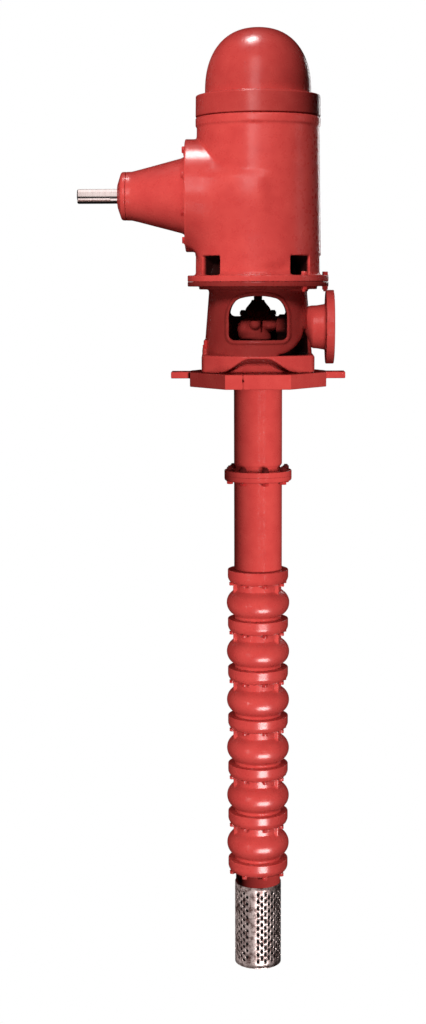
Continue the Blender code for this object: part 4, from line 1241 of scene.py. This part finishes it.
def studio_lamp(name, azimuth, elevation, distance, height, size, watts, seen="matt", lights=None):
    """Puts an area lamp at distance times (sin a cos e, -cos a cos e, sin e) from the point on the
    axis at the height given, and turns it to face that point. A matt lamp is left out of gloss, a
    gloss one out of matt light, and lights holds the first words of the pieces it is linked to."""
    light = bpy.data.lights.new(name, "AREA")
    light.shape, light.size, light.size_y = "RECTANGLE", *size
    light.energy = watts
    lamp = bpy.data.objects.new(name, light)
    bpy.context.scene.collection.objects.link(lamp)
    azimuth, elevation = math.radians(azimuth), math.radians(elevation)
    flat = distance * math.cos(elevation)
    lamp.location = AXIS + np.array([
        flat * math.sin(azimuth), -flat * math.cos(azimuth), height + distance * math.sin(elevation),
    ])
    lamp.rotation_euler = (math.pi / 2 - elevation, 0.0, azimuth)
    lamp.visible_camera = False
    lamp.visible_glossy = seen != "matt"
    lamp.visible_diffuse = seen != "gloss"
    if lights:
        lamp.light_linking.receiver_collection = bpy.data.collections.new(f"lit_by_{name}")
        for thing in pieces:
            if thing.name.startswith(lights):
                lamp.light_linking.receiver_collection.objects.link(thing)


# %% Soft lamps
studio_lamp("dome_key", -24, 34, 4.4, 0.45, (0.9, 0.9), 250, lights=CAP)
studio_lamp("drive_key", -22, 26, 7.0, 0.50, (1.4, 1.4), 700, lights=DRIVE)
studio_lamp("drive_low_fill", -14, -22, 4.0, 0.50, (1.2, 1.2), 62, lights=DRIVE)
studio_lamp("drive_side_fill", 80, 5, 4.0, 0.50, (0.8, 1.6), 38, lights=DRIVE)
studio_lamp("head_key", -8, 33, 4.4, 0.20, (0.9, 0.9), 110, lights=HEAD)
studio_lamp("head_low_fill", -14, -16, 4.2, 0.10, (1.2, 1.2), 40, lights=HEAD)
studio_lamp("foot_key", 4, 24, 4.4, 0.10, (0.9, 0.9), 210, lights=FOOT)
studio_lamp("foot_low_fill", 10, -16, 4.2, 0.10, (1.2, 1.2), 70, lights=FOOT)
studio_lamp("plate_lamp", 12, 4, 4.2, 0.0, (0.9, 0.9), 270, lights=PLATE)
studio_lamp("column_lamp", 28, 4, 4.2, -1.15, (0.8, 1.8), 190, lights=PIPES + RINGS + BOWLS)
studio_lamp("pipe_lamp", 6, 4, 4.2, -0.60, (0.8, 1.8), 125, lights=PIPES)
studio_lamp("bowl_lamp", -35, 10, 4.2, -1.40, (0.9, 1.8), 170, lights=RINGS + BOWLS + BASKET)
studio_lamp("spigot_lamp", 42, 4, 4.2, -1.90, (0.8, 0.8), 150, lights=SPIGOT)
studio_lamp("basket_lamp", -6, 6, 4.2, -1.90, (0.9, 1.2), 70, lights=BASKET)
studio_lamp("rear_left_lamp", -148, 20, 4.5, 0.0, (2.5, 2.5), 70)
studio_lamp("rear_right_lamp", 148, 20, 4.5, 0.0, (2.5, 2.5), 70)

# %% Cards for the highlights
studio_lamp("front_card", -8, 6, 3.6, 0.95, (1.3, 0.7), 4.0, "gloss", CAP + DRIVE)
studio_lamp("front_core", -11, 6, 3.6, 0.95, (0.6, 0.6), 2.4, "gloss", CAP + DRIVE)
studio_lamp("high_card", -6, 28, 3.6, 0.95, (1.2, 2.2), 16, "gloss", CAP + ("windowed_head",) + FOOT)
studio_lamp("boss_front_card", 0, 24, 3.6, 0.70, (2.8, 1.4), 20, "gloss", DRIVE)
studio_lamp("dome_card", -60, 80, 1.7, 1.0, (0.40, 0.45), 16, "gloss", CAP)
studio_lamp("boss_card", -60, 88, 1.7, 1.0, (0.6, 1.1), 46, "gloss", DRIVE)
studio_lamp("shaft_high_card", -10, 100, 2.0, 0.6, (3.0, 3.0), 46, "gloss", SHAFT)
studio_lamp("shaft_front_card", -10, 30, 3.0, 0.6, (3.0, 3.6), 44, "gloss", SHAFT)
studio_lamp("shaft_low_card", -10, -52, 3.0, 0.6, (3.0, 1.5), 26, "gloss", SHAFT)
studio_lamp("ring_card", 19, -16, 5.0, -1.52, (2.6, 1.7), 250, "gloss", STREAKED)
studio_lamp("bowl_card", 21, -30, 1.63, -1.17, (1.05, 0.72), 36, "gloss", BOWLS + ("bowl_ring_bolts",))
studio_lamp("basket_card", 19, -22, 5.0, -1.60, (4.0, 2.6), 420, "gloss", BASKET)
studio_lamp("rear_card", 155, 10, 4.0, 0.6, (0.35, 1.6), 8, "gloss")

# %% [markdown]
# The camera stands about 5.9 m away at the height of the head's flange, looks down by 7.7 degrees
# and is turned a little to the left, which sets the pump right of the picture's middle. A small
# roll keeps the pump upright in the picture.

# %% Camera
FRAME_WIDTH, FRAME_HEIGHT = 426, 1024
FOCAL_PIXELS, AXIS_PIXEL = 1700.0, 258.4
CAMERA_DISTANCE, CAMERA_HEIGHT, PITCH = 5.94, 0.358, math.radians(7.7)
camera_data = bpy.data.cameras.new("camera")
camera_data.sensor_width = 36.0
camera_data.lens = FOCAL_PIXELS / FRAME_HEIGHT * camera_data.sensor_width
camera = bpy.data.objects.new("camera", camera_data)
yaw = math.atan((AXIS_PIXEL - FRAME_WIDTH / 2) / FOCAL_PIXELS)
roll = -math.asin(math.sin(yaw) * math.sin(PITCH))
camera.location = (AXIS[0], AXIS[1] - CAMERA_DISTANCE, CAMERA_HEIGHT)
cos_r, sin_r = math.cos(roll), math.sin(roll)
tilt = math.pi / 2 - PITCH
turn_z = np.array([[math.cos(yaw), -math.sin(yaw), 0], [math.sin(yaw), math.cos(yaw), 0], [0, 0, 1]])
turn_x = np.array([[1, 0, 0], [0, math.cos(tilt), -math.sin(tilt)], [0, math.sin(tilt), math.cos(tilt)]])
turn_r = np.array([[cos_r, -sin_r, 0], [sin_r, cos_r, 0], [0, 0, 1]])
turned_by = turn_z @ turn_x @ turn_r
about_x, about_y = math.atan2(turned_by[2, 1], turned_by[2, 2]), -math.asin(turned_by[2, 0])
camera.rotation_euler = (about_x, about_y, math.atan2(turned_by[1, 0], turned_by[0, 0]))
bpy.context.scene.collection.objects.link(camera)
bpy.context.scene.camera = camera
